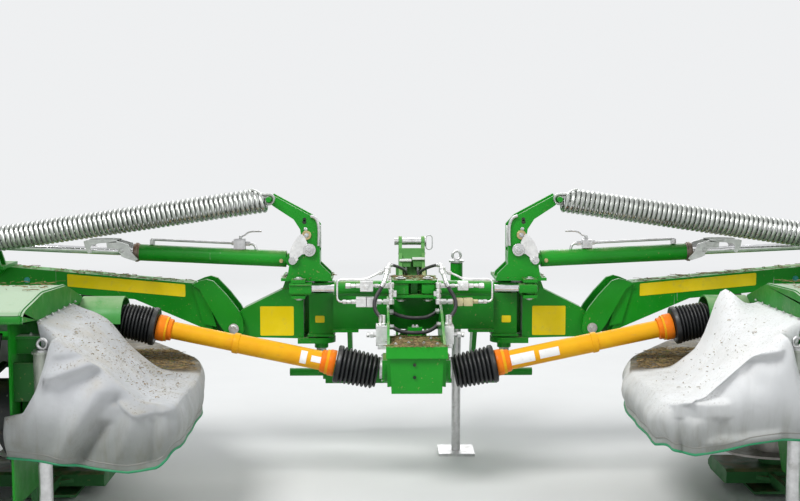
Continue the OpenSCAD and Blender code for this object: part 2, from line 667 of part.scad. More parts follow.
// Guard curtains: one skirt all round, a sloping top at the front, and a sloping sheet up to the hood at each end
module curtain() color(canvas) place() {
    front_line = [[curtain_half[7].y, 504], [64, 588]];
    shelf = [[858, -604], [858, -600], [903, -345], [1152, 56], [hood_x0 - 4, 220], [hood_x0 - 4, -604]];
    rear_face = [[854, 500], [854, 506], [960, 520], [1110, 655], [1200, 700], [1236, 650], [1250, 500]];
    plate_xy(curtain_z0, curtain_z1) polygon(band(curtain_plan, curtain_t));
    intersection() {
        union() {
            plate_yz(hood_x0 - 6, hood_x1 + 6) polygon(band(front_line, curtain_t));
            for (x = [hood_x0 - 6, hood_x1 - 2]) plate_yz(x, x + curtain_t) polygon([[346, 500], [64, 500], [64, 588]]);
        }
        plate_xy(400, 700) polygon(curtain_plan);
    }
    for (m = [0, 1]) translate([m * 2 * unit_x, 0, 0]) mirror([m, 0, 0]) {
        plate_xy(500, 508) polygon(shelf);
        plate_xz(-1198, -1190) polygon(rear_face);
        difference() {
            plate_xz(-1198, -600) polygon(band(roof_line, curtain_t));
            box([1236, -1200, 450], [1340, -1100, 800]);
        }
    }
}

// Disc outline: long ends at 210, narrow sides at 172
module disc_outline() intersection() {
    circle(r = 210);
    translate([0, 88]) circle(r = 260);
    translate([0, -88]) circle(r = 260);
}

module disc(i) color(steel) place() translate([disc_x[i], drive_y, 0]) rotate([0, 0, i % 2 == 0 ? 0 : 90]) {
    translate([0, 0, disc_z]) linear_extrude(9) disc_outline();
    bar_z(104, disc_z + 2, 25, 0, 0);
    bar_z(disc_z + 8, disc_z + 30, 78, 0, 0);
    for (k = [0, 180]) rotate([0, 0, k]) {
        box([150, -24, disc_z - 5], [260, 24, disc_z - 1]);
        bar_z(disc_z - 8, disc_z + 2, 13, 178, 0);
    }
    if (i == 0 || i == 6) {
        bar_z(disc_z + 8, 325, 96, 0, 0);
        bar_z(318, 330, 125, 0, 0);
    }
}

// Conditioner rotor with V-shaped tines in four rows
module tine_rotor() color(steel) place() {
    rows = 4;
    tines = 14;
    x0 = end_x0 + 125;
    step = (end_x1 - end_x0 - 250) / (tines - 1);
    bar_x(end_x0 - 4, end_x1 + 4, 30, rotor_y, rotor_z);
    difference() {
        bar_x(end_x0 + 16, end_x1 - 16, 95, rotor_y, rotor_z);
        bar_x(end_x0 + 26, end_x1 - 26, 88, rotor_y, rotor_z);
    }
    for (row = [0:rows - 1]) translate([0, rotor_y, rotor_z]) rotate([row * 360 / rows + 20, 0, 0])
        for (i = [0:tines - 1 - row % 2]) plate_xz(-8, 8) translate([x0 + (i + row % 2 / 2) * step, 0])
            polygon([[-14, 85], [-70, rotor_r - 4], [-48, rotor_r], [0, 150], [48, rotor_r], [70, rotor_r - 4], [14, 85]]);
}

// Stand at the rear inner corner of a unit
module unit_stand() color(zinc) place() {
    bar_z(5, 697, 24, stand_x, stand_y);
    bar_z(0, 10, 34, stand_x, stand_y);
    bar_z(690, 697, 30, stand_x, stand_y);
    eye_ring(stand_x, stand_y, 716, 16, 6);
}

headstock_frame();
top_mast();
top_link_pin();
centre_gearbox();
gearbox_guard();
hydraulic_valves();
hoses();
headstock_leg();
for (s = sides) {
    tag = s < 0 ? "_left" : "_right";
    on_side(s) carrier();
    on_side(s) lock_plate();
    on_side(s) arm();
    on_side(s) swing_cylinder();
    on_side(s) swing_rod();
    on_side(s) lift_cylinder();
    on_side(s) lift_lock();
    on_side(s) lift_rod();
    on_side(s) spring();
    on_side(s) shaft_boot_in();
    on_side(s) shaft_inner();
    on_side(s) shaft_boot_out();
    on_side(s) shaft_outer();
    on_side(s) unit_frame();
    on_side(s) hood();
    on_side(s) cutterbar();
    on_side(s) curtain();
    for (i = [0:6])
        on_side(s) disc(i);
    on_side(s) tine_rotor();
    on_side(s) unit_stand();
}
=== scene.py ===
# %% [markdown]
# # A double-wing disc mower conditioner, dressed
#
# The steel frame, cylinders, shafts and mowing units arrive as a imported model whose pieces stay where they
# are.
# This lesson gives them their paint, zinc, rubber and canvas, and adds what a plain solid can't show: wound
# springs, ribbed boots, hanging cloth, bolts, blank decals, pipes and the hay that settles on every ledge.
# All places are worked out in millimetres on the right wing and mirrored for the left one.

# %% Load the imported frame
import bmesh
import bpy
import math
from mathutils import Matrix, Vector, noise
from random import Random


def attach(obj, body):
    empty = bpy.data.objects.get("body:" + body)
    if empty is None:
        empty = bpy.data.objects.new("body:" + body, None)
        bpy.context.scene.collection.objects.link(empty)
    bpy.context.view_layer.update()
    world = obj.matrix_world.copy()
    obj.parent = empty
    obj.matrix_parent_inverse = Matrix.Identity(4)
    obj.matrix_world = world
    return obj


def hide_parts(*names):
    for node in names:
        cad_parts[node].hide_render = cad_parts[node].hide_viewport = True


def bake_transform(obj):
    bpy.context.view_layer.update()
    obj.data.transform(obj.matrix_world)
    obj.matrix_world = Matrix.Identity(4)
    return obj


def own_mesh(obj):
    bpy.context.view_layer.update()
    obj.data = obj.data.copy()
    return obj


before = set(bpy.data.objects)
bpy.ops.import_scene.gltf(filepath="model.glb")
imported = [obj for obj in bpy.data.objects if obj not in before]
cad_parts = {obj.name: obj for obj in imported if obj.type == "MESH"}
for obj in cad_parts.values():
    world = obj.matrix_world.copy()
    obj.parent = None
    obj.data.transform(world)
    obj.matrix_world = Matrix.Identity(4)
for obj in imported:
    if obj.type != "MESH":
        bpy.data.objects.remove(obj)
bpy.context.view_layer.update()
SIDES = {"left": -1, "right": 1}

# %% [markdown]
# ## Points in the shop's own numbers
#
# A mechanic measures across from the middle, back from the swing pins and up from the ground. The helper
# below turns such a reading into metres in the frame's axes. The other way would be to write metres
# everywhere, but millimetres match the drawing, and one sign then serves both wings.

# %% Points and directions
SWING_TO_ORIGIN = 510


def at(side, x, y, z):
    """A point in metres from millimetres across, forward of the swing pins, and up."""
    return Vector((side * x, y + SWING_TO_ORIGIN, z)) / 1000


UP, DOWN = Vector((0, 0, 1)), Vector((0, 0, -1))
BACK, FORWARD = Vector((0, -1, 0)), Vector((0, 1, 0))


def slanted(side, start, y, angle, along, up=0.0, across=0.0):
    """A point along a member that starts at (x, z) and rises outward by an angle in degrees."""
    turn = math.radians(angle)
    x = start[0] + along * math.cos(turn) - up * math.sin(turn)
    z = start[1] + along * math.sin(turn) + up * math.cos(turn)
    return at(side, x, y + across, z)


def course(side, start, y, angle):
    """The outward direction of a member that rises at an angle."""
    return slanted(side, start, y, angle, 1000) - slanted(side, start, y, angle, 0)


def rise(start, end):
    """The angle in degrees of a line between two (x, z) places."""
    return math.degrees(math.atan2(end[1] - start[1], end[0] - start[0]))


print("the swing pins lie on the line through", tuple(at(1, 0, 0, 0)))

# %% [markdown]
# ## Finishes
#
# Paint on a working machine is never one colour: dust lies on what faces up, mud and rust gather in
# patches, and handling scratches it. A finish here is a small graph of noise and ramps. The class keeps
# each graph short, and the fixed numbers sit on the shader's own sockets so that the finish also survives
# an export.

# %% A short hand for shader graphs
class Finish:
    """A material with its shader, and brief calls that add nodes."""

    def __init__(self, name, rough=0.5, **sockets):
        self.material = bpy.data.materials.new(name)
        self.material.use_nodes = True
        self.tree = self.material.node_tree
        self.shader = self.tree.nodes["Principled BSDF"]
        self.shader.inputs["Roughness"].default_value = rough
        for socket, value in sockets.items():
            self.shader.inputs[socket.replace("_", " ")].default_value = value
        self.place = self.tree.nodes.new("ShaderNodeTexCoord")

    def join(self, value, socket):
        """Sets a socket to a link or to a plain value."""
        if isinstance(value, bpy.types.NodeSocket):
            self.tree.links.new(value, socket)
        elif value is not None:
            socket.default_value = value

    def stretched(self, scale):
        """The object's own coordinates, scaled along each axis."""
        node = self.tree.nodes.new("ShaderNodeMapping")
        self.join(self.place.outputs["Object"], node.inputs["Vector"])
        node.inputs["Scale"].default_value = scale
        return node.outputs["Vector"]

    def noise(self, scale, detail=4.0, rough=0.6, stretch=(1, 1, 1)):
        """Cloudy patches; a larger scale makes them smaller."""
        node = self.tree.nodes.new("ShaderNodeTexNoise")
        self.join(self.stretched(stretch), node.inputs["Vector"])
        node.inputs["Scale"].default_value = scale
        node.inputs["Detail"].default_value = detail
        node.inputs["Roughness"].default_value = rough
        return node.outputs["Fac"]

    def wave(self, scale, direction="X"):
        """Even bands across one axis, such as a weave."""
        node = self.tree.nodes.new("ShaderNodeTexWave")
        node.bands_direction = direction
        self.join(self.place.outputs["Object"], node.inputs["Vector"])
        node.inputs["Scale"].default_value = scale
        return node.outputs["Fac"]

    def step(self, value, low, high, to_low=0.0, to_high=1.0):
        """Maps a range onto another with soft ends."""
        node = self.tree.nodes.new("ShaderNodeMapRange")
        node.interpolation_type = "SMOOTHSTEP"
        for socket, number in zip(("Value", "From Min", "From Max", "To Min", "To Max"),
                                  (value, low, high, to_low, to_high)):
            self.join(number, node.inputs[socket])
        return node.outputs["Result"]

    def uneven(self, scale, low, high):
        """A value that drifts between two numbers, for roughness."""
        return self.step(self.noise(scale), 0.3, 0.7, low, high)

    def math(self, operation, a, b=None):
        """One sum on two values or sockets."""
        node = self.tree.nodes.new("ShaderNodeMath")
        node.operation = operation
        self.join(a, node.inputs[0])
        self.join(b, node.inputs[1])
        return node.outputs["Value"]

    def mix(self, share, a, b):
        """Colour a where the share is 0 and colour b where it is 1."""
        node = self.tree.nodes.new("ShaderNodeMix")
        node.data_type = "RGBA"
        self.join(share, node.inputs[0])
        self.join(a, node.inputs[6])
        self.join(b, node.inputs[7])
        return node.outputs[2]

    def axis(self, output, name):
        """One axis of the object's own place or normal."""
        node = self.tree.nodes.new("ShaderNodeSeparateXYZ")
        self.join(self.place.outputs[output], node.inputs["Vector"])
        return node.outputs[name]

    def bump(self, height, depth, strength=1.0):
        """Small relief from a height value; depth is in metres."""
        node = self.tree.nodes.new("ShaderNodeBump")
        node.inputs["Distance"].default_value = depth
        node.inputs["Strength"].default_value = strength
        self.join(height, node.inputs["Height"])
        self.join(node.outputs["Normal"], self.shader.inputs["Normal"])

    def done(self, colour, rough=None, metal=None):
        """Joins the results to the shader and returns the material."""
        self.join(colour, self.shader.inputs["Base Color"])
        self.join(rough, self.shader.inputs["Roughness"])
        self.join(metal, self.shader.inputs["Metallic"])
        return self.material


HAY = (0.36, 0.27, 0.12, 1)
DIRT = (0.10, 0.075, 0.045, 1)
RUST = (0.20, 0.07, 0.02, 1)
print("colours of hay, dirt and rust", HAY[:3], DIRT[:3], RUST[:3])

# %% [markdown]
# ## Machine paint
#
# The frame's paint is a deep gloss green, and the flat tops and the hood are bleached by a film of dried
# grass. Dust is put where the surface's own normal looks up, broken by noise. A mask painted by hand would
# follow the photograph more closely, but a rule works from every side.

# %% Paints
def paint(name, colour, dust=0.5, dust_colour=(0.30, 0.33, 0.17, 1), rough=0.34, spread=0.35):
    """Gloss paint with a paler film on upward faces, specks of dirt and fine scratches."""
    f = Finish(name, rough=rough, Specular_IOR_Level=0.24, Coat_Weight=0.08, Coat_Roughness=0.2)
    up = f.step(f.axis("Normal", "Z"), 0.45, 0.95)
    cloud = f.step(f.noise(9, 6, 0.7), spread, spread + 0.3)
    film = f.math("MULTIPLY", f.math("MULTIPLY", up, cloud), dust)
    tone = f.mix(f.step(f.noise(2.3, 3), 0.3, 0.7), colour, tuple(c * 0.74 for c in colour[:3]) + (1,))
    tone = f.mix(film, tone, dust_colour)
    speck = f.step(f.noise(95, 2, 0.5), 0.66, 0.74, 0, 0.55)
    tone = f.mix(f.math("MULTIPLY", speck, f.step(f.noise(5, 3), 0.42, 0.6)), tone, HAY)
    scratch = f.step(f.noise(60, 2, 0.5, (1, 1, 0.06)), 0.735, 0.76, 0, 0.6)
    tone = f.mix(scratch, tone, (0.30, 0.36, 0.28, 1))
    worn = f.step(f.noise(14, 5), 0.3, 0.75, rough - 0.06, rough + 0.2)
    f.bump(f.noise(420, 2), 0.0002, 0.35)
    return f.done(tone, f.math("MAXIMUM", worn, f.math("MULTIPLY", film, 0.85)))


GREEN = (0.008, 0.262, 0.012, 1)
green_paint = paint("green_paint", GREEN)
hood_paint = paint("hood_paint", (0.012, 0.20, 0.016, 1), 0.95, (0.37, 0.46, 0.335, 1), 0.45, 0.14)
mast_paint = paint("bleached_mast_paint", (0.11, 0.34, 0.085, 1), 0.85, (0.32, 0.27, 0.12, 1), 0.5)
bell_paint = paint("faded_bell_paint", (0.05, 0.27, 0.05, 1), 0.7, (0.29, 0.39, 0.22, 1), 0.45, 0.25)
case_paint = paint("gearbox_paint", (0.012, 0.27, 0.018, 1), 0.8, (0.26, 0.23, 0.09, 1), spread=0.28)
# painted shade: a much darker copy of the frame green, for plates that lie in shadow under the hood and under
# the arm
painted_shade_green = paint("painted_shade_green", (0.007, 0.10, 0.010, 1), 0.5)
bar_metal = paint("cutterbar_paint", (0.03, 0.16, 0.04, 1), 0.9, (0.22, 0.20, 0.10, 1), 0.5)
rotor_paint = paint("rotor_paint", (0.035, 0.036, 0.038, 1), 0.6, (0.20, 0.17, 0.10, 1), 0.5)
print("nodes in one paint", len(green_paint.node_tree.nodes))

# %% [markdown]
# ## Bare and plated metals
#
# Zinc plate is dull and slightly mottled, spring wire is brighter, and a chromed rod is nearly a mirror.
# They share one graph with other numbers. Rust and grass juice are mixed in by noise, as they are on a used
# machine.

# %% Metals
def metal(name, colour, rough, stain=0.3, stain_colour=DIRT, grain=30):
    """Bare or plated metal, mottled, with stains that are less metallic."""
    f = Finish(name, rough=rough, Metallic=1.0)
    mottle = f.step(f.noise(grain, 5, 0.65), 0.3, 0.7)
    tone = f.mix(mottle, colour, tuple(c * 0.78 for c in colour[:3]) + (1,))
    spots = f.step(f.noise(11, 6, 0.7), 0.52, 0.7, 0, stain)
    tone = f.mix(spots, tone, stain_colour)
    f.bump(f.noise(260, 3), 0.0003, 0.3)
    return f.done(tone, f.uneven(22, rough - 0.07, rough + 0.14), f.math("SUBTRACT", 1.0, spots))


zinc_plate = metal("zinc_plate", (0.66, 0.66, 0.66, 1), 0.36, 0.3)
galvanised = metal("galvanised_tube", (0.50, 0.53, 0.47, 1), 0.55, 0.35, DIRT, 14)
spring_wire = metal("spring_wire", (0.52, 0.54, 0.51, 1), 0.30, 0.2)
chrome = metal("hard_chrome", (0.80, 0.80, 0.81, 1), 0.12, 0.08)
bright_zinc = metal("bright_zinc", (0.84, 0.84, 0.83, 1), 0.42, 0.16)
pale_yellow_zinc = metal("pale_yellow_zinc", (0.66, 0.60, 0.36, 1), 0.42, 0.25)
yellow_zinc = metal("yellow_zinc", (0.62, 0.50, 0.26, 1), 0.35, 0.3)
worn_steel = metal("worn_steel", (0.36, 0.34, 0.32, 1), 0.42, 0.7, RUST)
rusty_steel = metal("rusty_steel", (0.26, 0.21, 0.17, 1), 0.55, 0.9, RUST)
print("nodes in one metal", len(chrome.node_tree.nodes))

# %% [markdown]
# ## Rubber and plastic
#
# The boots and hoses are black, but grass dust turns their ribs grey on top. The shaft guards are cast in
# yellow-orange plastic that fades to lemon where the sun reaches it, with scuffs round the collars.

# %% Rubbers and plastics
def rubber(name, colour, dust=0.4, rough=0.55):
    """Black rubber with pale dust where it looks up and in its grooves."""
    f = Finish(name, rough=rough)
    up = f.step(f.axis("Normal", "Z"), 0.1, 0.95)
    film = f.math("MULTIPLY", f.math("MULTIPLY", up, f.step(f.noise(40, 5), 0.35, 0.7)), dust)
    f.bump(f.noise(300, 3), 0.0004, 0.4)
    return f.done(f.mix(film, colour, (0.20, 0.19, 0.16, 1)), f.uneven(30, rough - 0.1, rough + 0.15))


def plastic(name, colour, faded, rough=0.4):
    """Coloured guard plastic that fades along its top and is scuffed in streaks."""
    f = Finish(name, rough=rough, Specular_IOR_Level=0.18)
    tone = f.mix(f.step(f.noise(6, 4), 0.3, 0.7), colour, faded)
    up = f.math("MULTIPLY", f.step(f.axis("Normal", "Z"), 0.2, 1.0), 0.6)
    tone = f.mix(up, tone, faded)
    scuff = f.step(f.noise(42, 3, 0.6, (0.3, 1, 1)), 0.63, 0.72, 0, 0.5)
    tone = f.mix(scuff, tone, (0.42, 0.24, 0.08, 1))
    f.bump(f.noise(180, 3), 0.0003, 0.3)
    return f.done(tone, f.uneven(25, rough - 0.08, rough + 0.2))


boot_black = rubber("boot_black", (0.009, 0.010, 0.011, 1), 0.28, 0.42)
hose_black = rubber("hose_black", (0.018, 0.018, 0.02, 1), 0.5, 0.5)
guard_yellow = plastic("guard_yellow", (0.72, 0.31, 0.006, 1), (0.76, 0.40, 0.008, 1))
collar_orange = plastic("collar_orange", (0.78, 0.15, 0.005, 1), (0.82, 0.22, 0.008, 1))
print("nodes in rubber and plastic", len(boot_black.node_tree.nodes), len(guard_yellow.node_tree.nodes))

# %% [markdown]
# ## Decals, straw and cloth
#
# Where the real machine has printed signs the part carries blank film in the same colours. The canvas is a
# coated cloth, almost white, with a fine weave, brown juice where grass rests and specks of chopped grass.
# Towards the hem it is darkened by painted shade; on the right wing so are the faces that turn down.

# %% Decals, straw and cloth
def blank_film(name, colour, rough=0.45):
    """Printed film with no print: slightly faded, with grime in patches."""
    f = Finish(name, rough=rough, Specular_IOR_Level=0.2)
    grime = f.step(f.noise(28, 6, 0.7), 0.5, 0.8, 0, 0.35)
    pale = tuple(min(1, c * 1.12 + 0.02) for c in colour[:3]) + (1,)
    fade = f.mix(f.step(f.noise(7), 0.3, 0.7), colour, pale)
    return f.done(f.mix(grime, fade, (0.25, 0.22, 0.12, 1)), f.uneven(30, rough - 0.1, rough + 0.15))


yellow_film = blank_film("yellow_film", (0.80, 0.60, 0.0, 1))
white_film = blank_film("white_film", (0.75, 0.74, 0.72, 1))
# painted shade rather than a printed film: a near-black green put where holes and slots show only shade, and
# on the guard's two bolts
painted_dark_shade = blank_film("painted_dark_shade", (0.006, 0.02, 0.008, 1), 0.7)
teal_film = blank_film("teal_plastic", (0.05, 0.32, 0.30, 1))


def straw_finish():
    """Dry and half-green stalks, each with its own tone."""
    f = Finish("dried_grass", rough=0.8)
    tone = f.mix(f.step(f.noise(60, 2), 0.35, 0.65), (0.34, 0.24, 0.10, 1), (0.13, 0.085, 0.035, 1))
    tone = f.mix(f.step(f.noise(23, 2), 0.56, 0.68, 0, 0.7), tone, (0.17, 0.20, 0.05, 1))
    return f.done(tone)


# In front of this line the cloth is level and the hay lies in a mat
FORE_LINE = (SWING_TO_ORIGIN - 600) / 1000


def canvas_finish(name, light, grey, painted_low_shade, stain, shade):
    """Coated canvas: weave, wiped clouds, specks, brown juice where grass rests, painted shade on faces that
    turn down and painted shade towards the hem, with runs of dirt there.
    """
    f = Finish(name, rough=0.62, Sheen_Weight=0.12, Sheen_Roughness=0.5)
    base = f.mix(f.step(f.noise(3.2, 4), 0.3, 0.72), light, grey)
    up = f.step(f.axis("Normal", "Z"), 0.1, 0.7)
    # painted shade: faces that turn sideways or down are darkened towards a cool grey, as far as the shade
    # argument asks
    base = f.mix(f.step(f.axis("Normal", "Z"), 0.5, -0.1, 0, shade), base, (0.26, 0.275, 0.29, 1))
    patch = f.step(f.noise(6, 6, 0.72), 0.42, 0.66)
    tone = f.mix(f.math("MULTIPLY", f.math("MULTIPLY", up, patch), stain), base, (0.42, 0.36, 0.24, 1))
    fore = f.step(f.axis("Object", "Y"), FORE_LINE - 0.03, FORE_LINE + 0.02)
    litter = f.mix(f.step(f.noise(34, 5, 0.75), 0.35, 0.65), (0.040, 0.029, 0.014, 1), (0.15, 0.11, 0.058, 1))
    level = f.math("MULTIPLY", fore, f.step(f.axis("Normal", "Z"), 0.5, 0.8))
    tone = f.mix(f.math("MULTIPLY", level, f.step(f.noise(8, 5), 0.2, 0.5, 0.55, 1)), tone, litter)
    speck = f.math("MULTIPLY", f.step(f.noise(120, 2, 0.5), 0.57, 0.66), f.step(f.noise(4.5, 4), 0.36, 0.56))
    tone = f.mix(f.math("MULTIPLY", f.math("MULTIPLY", speck, up), 2 * stain), tone, (0.16, 0.12, 0.06, 1))
    # painted shade: from 0.58 m down to 0.31 m the cloth is darkened to the low colour it is given; the dirt
    # runs after it lie in that band
    low = f.step(f.axis("Object", "Z"), 0.58, 0.31, 0, 0.86)
    tone = f.mix(low, tone, painted_low_shade)
    run = f.step(f.noise(24, 4, 0.6, (1, 1, 0.12)), 0.42, 0.72)
    tone = f.mix(f.math("MULTIPLY", f.math("MULTIPLY", low, run), 0.5), tone, (0.15, 0.14, 0.09, 1))
    weave = f.math("ADD", f.wave(420, "X"), f.wave(420, "Z"))
    crumple = f.math("ADD", f.math("MULTIPLY", f.noise(15, 3, 0.5), 2.2), f.noise(42, 4))
    f.bump(f.math("ADD", f.math("MULTIPLY", weave, 0.12), crumple), 0.0030, 0.6)
    return f.done(tone, f.uneven(16, 0.5, 0.75))


straw = straw_finish()
# Both cloths carry painted shade towards the hem; only the right one also has painted shade on faces that
# turn down
CANVAS = {
    "left": canvas_finish("grey_canvas", light=(0.56, 0.57, 0.585, 1), grey=(0.42, 0.43, 0.44, 1),
                          painted_low_shade=(0.16, 0.175, 0.15, 1), stain=0.4, shade=0.0),
    "right": canvas_finish("white_canvas", light=(0.88, 0.885, 0.88, 1), grey=(0.80, 0.805, 0.80, 1),
                           painted_low_shade=(0.155, 0.168, 0.148, 1), stain=0.14, shade=0.42),
}
seam_thread = rubber("seam_thread", (0.22, 0.22, 0.20, 1), 0.3, 0.7)
hem_green = rubber("hem_green", (0.012, 0.22, 0.09, 1), 0.4, 0.6)
print("finishes", len(bpy.data.materials))

# %% [markdown]
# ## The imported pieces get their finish
#
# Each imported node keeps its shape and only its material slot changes. The table pairs a node's plain name
# with a finish, and one loop serves both wings. Doing this by hand in the editor would be lost at the next
# build.

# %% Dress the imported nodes
NODE_FINISH = {
    "headstock_frame": green_paint, "top_mast": mast_paint, "top_link_pin": zinc_plate,
    "centre_gearbox": case_paint, "gearbox_guard": green_paint, "hydraulic_valves": zinc_plate,
    "hoses": hose_black, "headstock_leg": zinc_plate, "carrier": green_paint, "lock_plate": zinc_plate,
    "arm": green_paint, "swing_cylinder": green_paint, "swing_rod": chrome, "lift_cylinder": green_paint,
    "lift_lock": zinc_plate, "lift_rod": chrome, "spring": spring_wire, "shaft_boot_in": boot_black,
    "shaft_boot_out": boot_black, "shaft_inner": guard_yellow, "shaft_outer": guard_yellow,
    "unit_frame": green_paint, "hood": hood_paint, "cutterbar": bar_metal, "curtain": CANVAS["left"],
    "disc": worn_steel, "tine_rotor": rotor_paint, "unit_stand": zinc_plate,
}
for node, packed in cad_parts.items():
    plain = node.removesuffix("_left").removesuffix("_right").rstrip("1234567").rstrip("_")
    packed.data.materials.clear()
    packed.data.materials.append(NODE_FINISH[plain])


def repaint(node, finish, chosen):
    """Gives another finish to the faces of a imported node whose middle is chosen."""
    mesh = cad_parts[node].data
    mesh.materials.append(finish)
    slot = len(mesh.materials) - 1
    for polygon in mesh.polygons:
        x, y, z = polygon.center * 1000
        if chosen(abs(x), y - SWING_TO_ORIGIN, z):
            polygon.material_index = slot


# The drive shaft's two joints as (x, z), and how far both lie from the swing pins
SHAFT_IN, SHAFT_OUT, DRIVE_Y = (236, 490), (1122, 677), -430


def on_bell(x, y, z):
    """Whether a place of the unit's frame is on the bell round the shaft's outer joint."""
    return 1159 < x < 1328 and math.hypot(y - DRIVE_Y, z - SHAFT_OUT[1]) > 98


for tag in SIDES:
    repaint(f"swing_rod_{tag}", green_paint, lambda x, y, z: x > 462)
    repaint(f"unit_frame_{tag}", bell_paint, on_bell)
print("dressed", len(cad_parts), "packed nodes")

# %% [markdown]
# ## The camera and the light
#
# The photograph was taken from behind the machine at eye height, level with its middle. The lens comes from
# how fast things shrink with distance. The light is a plain overcast sky: a pale world and three broad
# lamps, so that a colour renders about as it is written.

# %% Camera and light
camera_data = bpy.data.cameras.new("camera")
camera_data.lens, camera_data.sensor_width = 54.0, 36.0
camera = bpy.data.objects.new("camera", camera_data)
bpy.context.scene.collection.objects.link(camera)
bpy.context.scene.camera = camera
camera.location = (-0.138, -4.690, 1.420)
camera.rotation_euler = (math.radians(90 - 5.45), 0, math.radians(-0.9))


def lamp(name, place, size, power):
    """A broad soft lamp that looks at the machine's middle."""
    data = bpy.data.lights.new(name, "AREA")
    data.shape, data.size, data.energy = "DISK", size, power
    made = bpy.data.objects.new(name, data)
    bpy.context.scene.collection.objects.link(made)
    made.location = place
    made.rotation_euler = (Vector((0, 0, 0.6)) - made.location).to_track_quat("-Z", "Y").to_euler()


lamp("key", (-4.2, -4.6, 7.6), 3.6, 660)
lamp("fill", (6.0, -4.0, 5.0), 6.0, 240)
lamp("rim", (0.5, 7.0, 6.0), 6.0, 330)
bpy.context.scene.view_settings.view_transform = "Standard"
print("camera at", tuple(camera.location), "with a lens of", camera_data.lens, "mm")

# %% [markdown]
# ## A floor that melts into the sky
#
# A plain floor shows a hard line where it meets the world. Here the world has one strength that lights the
# machine and another that the camera sees, and the floor turns into that same pale tone with distance. Near
# the machine it stays an ordinary matt floor, so it keeps the shadow.

# %% Pale world
SEEN_PALE = (0.86, 0.87, 0.88, 1)


def ray_share(tree):
    """1 for what the camera sees, directly or in a reflection or through glass."""
    rays = tree.nodes.new("ShaderNodeLightPath")
    share = rays.outputs["Is Camera Ray"]
    for name in ("Is Glossy Ray", "Is Transmission Ray"):
        node = tree.nodes.new("ShaderNodeMath")
        node.operation = "MAXIMUM"
        tree.links.new(share, node.inputs[0])
        tree.links.new(rays.outputs[name], node.inputs[1])
        share = node.outputs["Value"]
    return share


def blended(tree, share, first, second, output):
    """Mixes two shaders into the surface of an output."""
    node = tree.nodes.new("ShaderNodeMixShader")
    tree.links.new(share, node.inputs[0])
    tree.links.new(first, node.inputs[1])
    tree.links.new(second, node.inputs[2])
    tree.links.new(node.outputs["Shader"], output.inputs["Surface"])


world = bpy.data.worlds.new("sky")
bpy.context.scene.world = world
world.use_nodes = True
sky = world.node_tree
lighting = sky.nodes["Background"]
lighting.inputs["Color"].default_value = (0.90, 0.94, 1.0, 1)
lighting.inputs["Strength"].default_value = 0.56
shown = sky.nodes.new("ShaderNodeBackground")
shown.inputs["Color"].default_value = SEEN_PALE
blended(sky, ray_share(sky), lighting.outputs[0], shown.outputs[0], sky.nodes["World Output"])
print("nodes in the world", len(sky.nodes))

# %% [markdown]
# ### From lists of points to an object
#
# All made pieces start as lists of points and faces. Primitives with modifiers would also do, but lists
# join into one mesh for each job, which keeps the piece count low.

# %% Points into pieces, and the floor
def piece(name, parts, finish, body=None, sharp=35):
    """Joins parts into one object, smooth but for sharp angles, that rides on a body."""
    points, faces = [], []
    for part_points, part_faces in parts:
        shift = len(points)
        points += part_points
        faces += [tuple(i + shift for i in face) for face in part_faces]
    mesh = bpy.data.meshes.new(name)
    mesh.from_pydata(points, [], faces)
    net = bmesh.new()
    net.from_mesh(mesh)
    bmesh.ops.recalc_face_normals(net, faces=net.faces)
    net.to_mesh(mesh)
    net.free()
    mesh.polygons.foreach_set("use_smooth", [True] * len(mesh.polygons))
    mesh.set_sharp_from_angle(angle=math.radians(sharp))
    made = bpy.data.objects.new(name, mesh)
    bpy.context.scene.collection.objects.link(made)
    mesh.materials.append(finish)
    if body:
        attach(made, body)
    return made


floor = Finish("pale_floor", rough=0.9, Specular_IOR_Level=0.1)
cloud = floor.step(floor.noise(0.8, 4), 0.3, 0.7)
floor_finish = floor.done(floor.mix(cloud, (0.69, 0.69, 0.68, 1), (0.66, 0.66, 0.65, 1)))
distance = floor.tree.nodes.new("ShaderNodeVectorMath")
distance.operation = "LENGTH"
floor.join(floor.place.outputs["Object"], distance.inputs[0])
glow = floor.tree.nodes.new("ShaderNodeEmission")
glow.inputs["Color"].default_value = SEEN_PALE
far = floor.math("MULTIPLY", floor.step(distance.outputs["Value"], 4.5, 9.5), ray_share(floor.tree))
blended(floor.tree, far, floor.shader.outputs[0], glow.outputs[0], floor.tree.nodes["Material Output"])
REACH = 90
corners = [Vector((x, y, 0)) for x, y in ((-REACH, -REACH), (REACH, -REACH), (REACH, REACH), (-REACH, REACH))]
ground = piece("floor", [(corners, [(0, 1, 2, 3)])], floor_finish)
print("floor", 2 * REACH, "m wide")

# %% [markdown]
# ## Relief springs
#
# Each wing hangs on a long extension spring, wound tight from thick wire, whose turns are the brightest
# thing in the picture. A helix swept with a round section gives every turn a real shadow. The frame holds
# one solid for it, which this piece replaces. When the wing folds the spring gets shorter.

# %% A round bar along a line
def tube_faces(rings, sides):
    """The faces that join rings of points into a tube, and its two ends."""
    faces = []
    for i in range(rings - 1):
        for k in range(sides):
            m = (k + 1) % sides
            faces.append((i * sides + k, i * sides + m, (i + 1) * sides + m, (i + 1) * sides + k))
    return faces + [tuple(range(sides)), tuple(range((rings - 1) * sides, rings * sides))]


def swept(route, radius, sides=12):
    """A round bar in millimetres radius along a list of points."""
    points, a = [], None
    for i, p in enumerate(route):
        d = (route[min(len(route) - 1, i + 1)] - route[max(0, i - 1)]).normalized()
        a = d.orthogonal().normalized() if a is None else (a - d * a.dot(d)).normalized()
        b = d.cross(a)
        for k in range(sides):
            t = 2 * math.pi * k / sides
            points.append(p + (a * math.cos(t) + b * math.sin(t)) * radius / 1000)
    return points, tube_faces(len(route), sides)


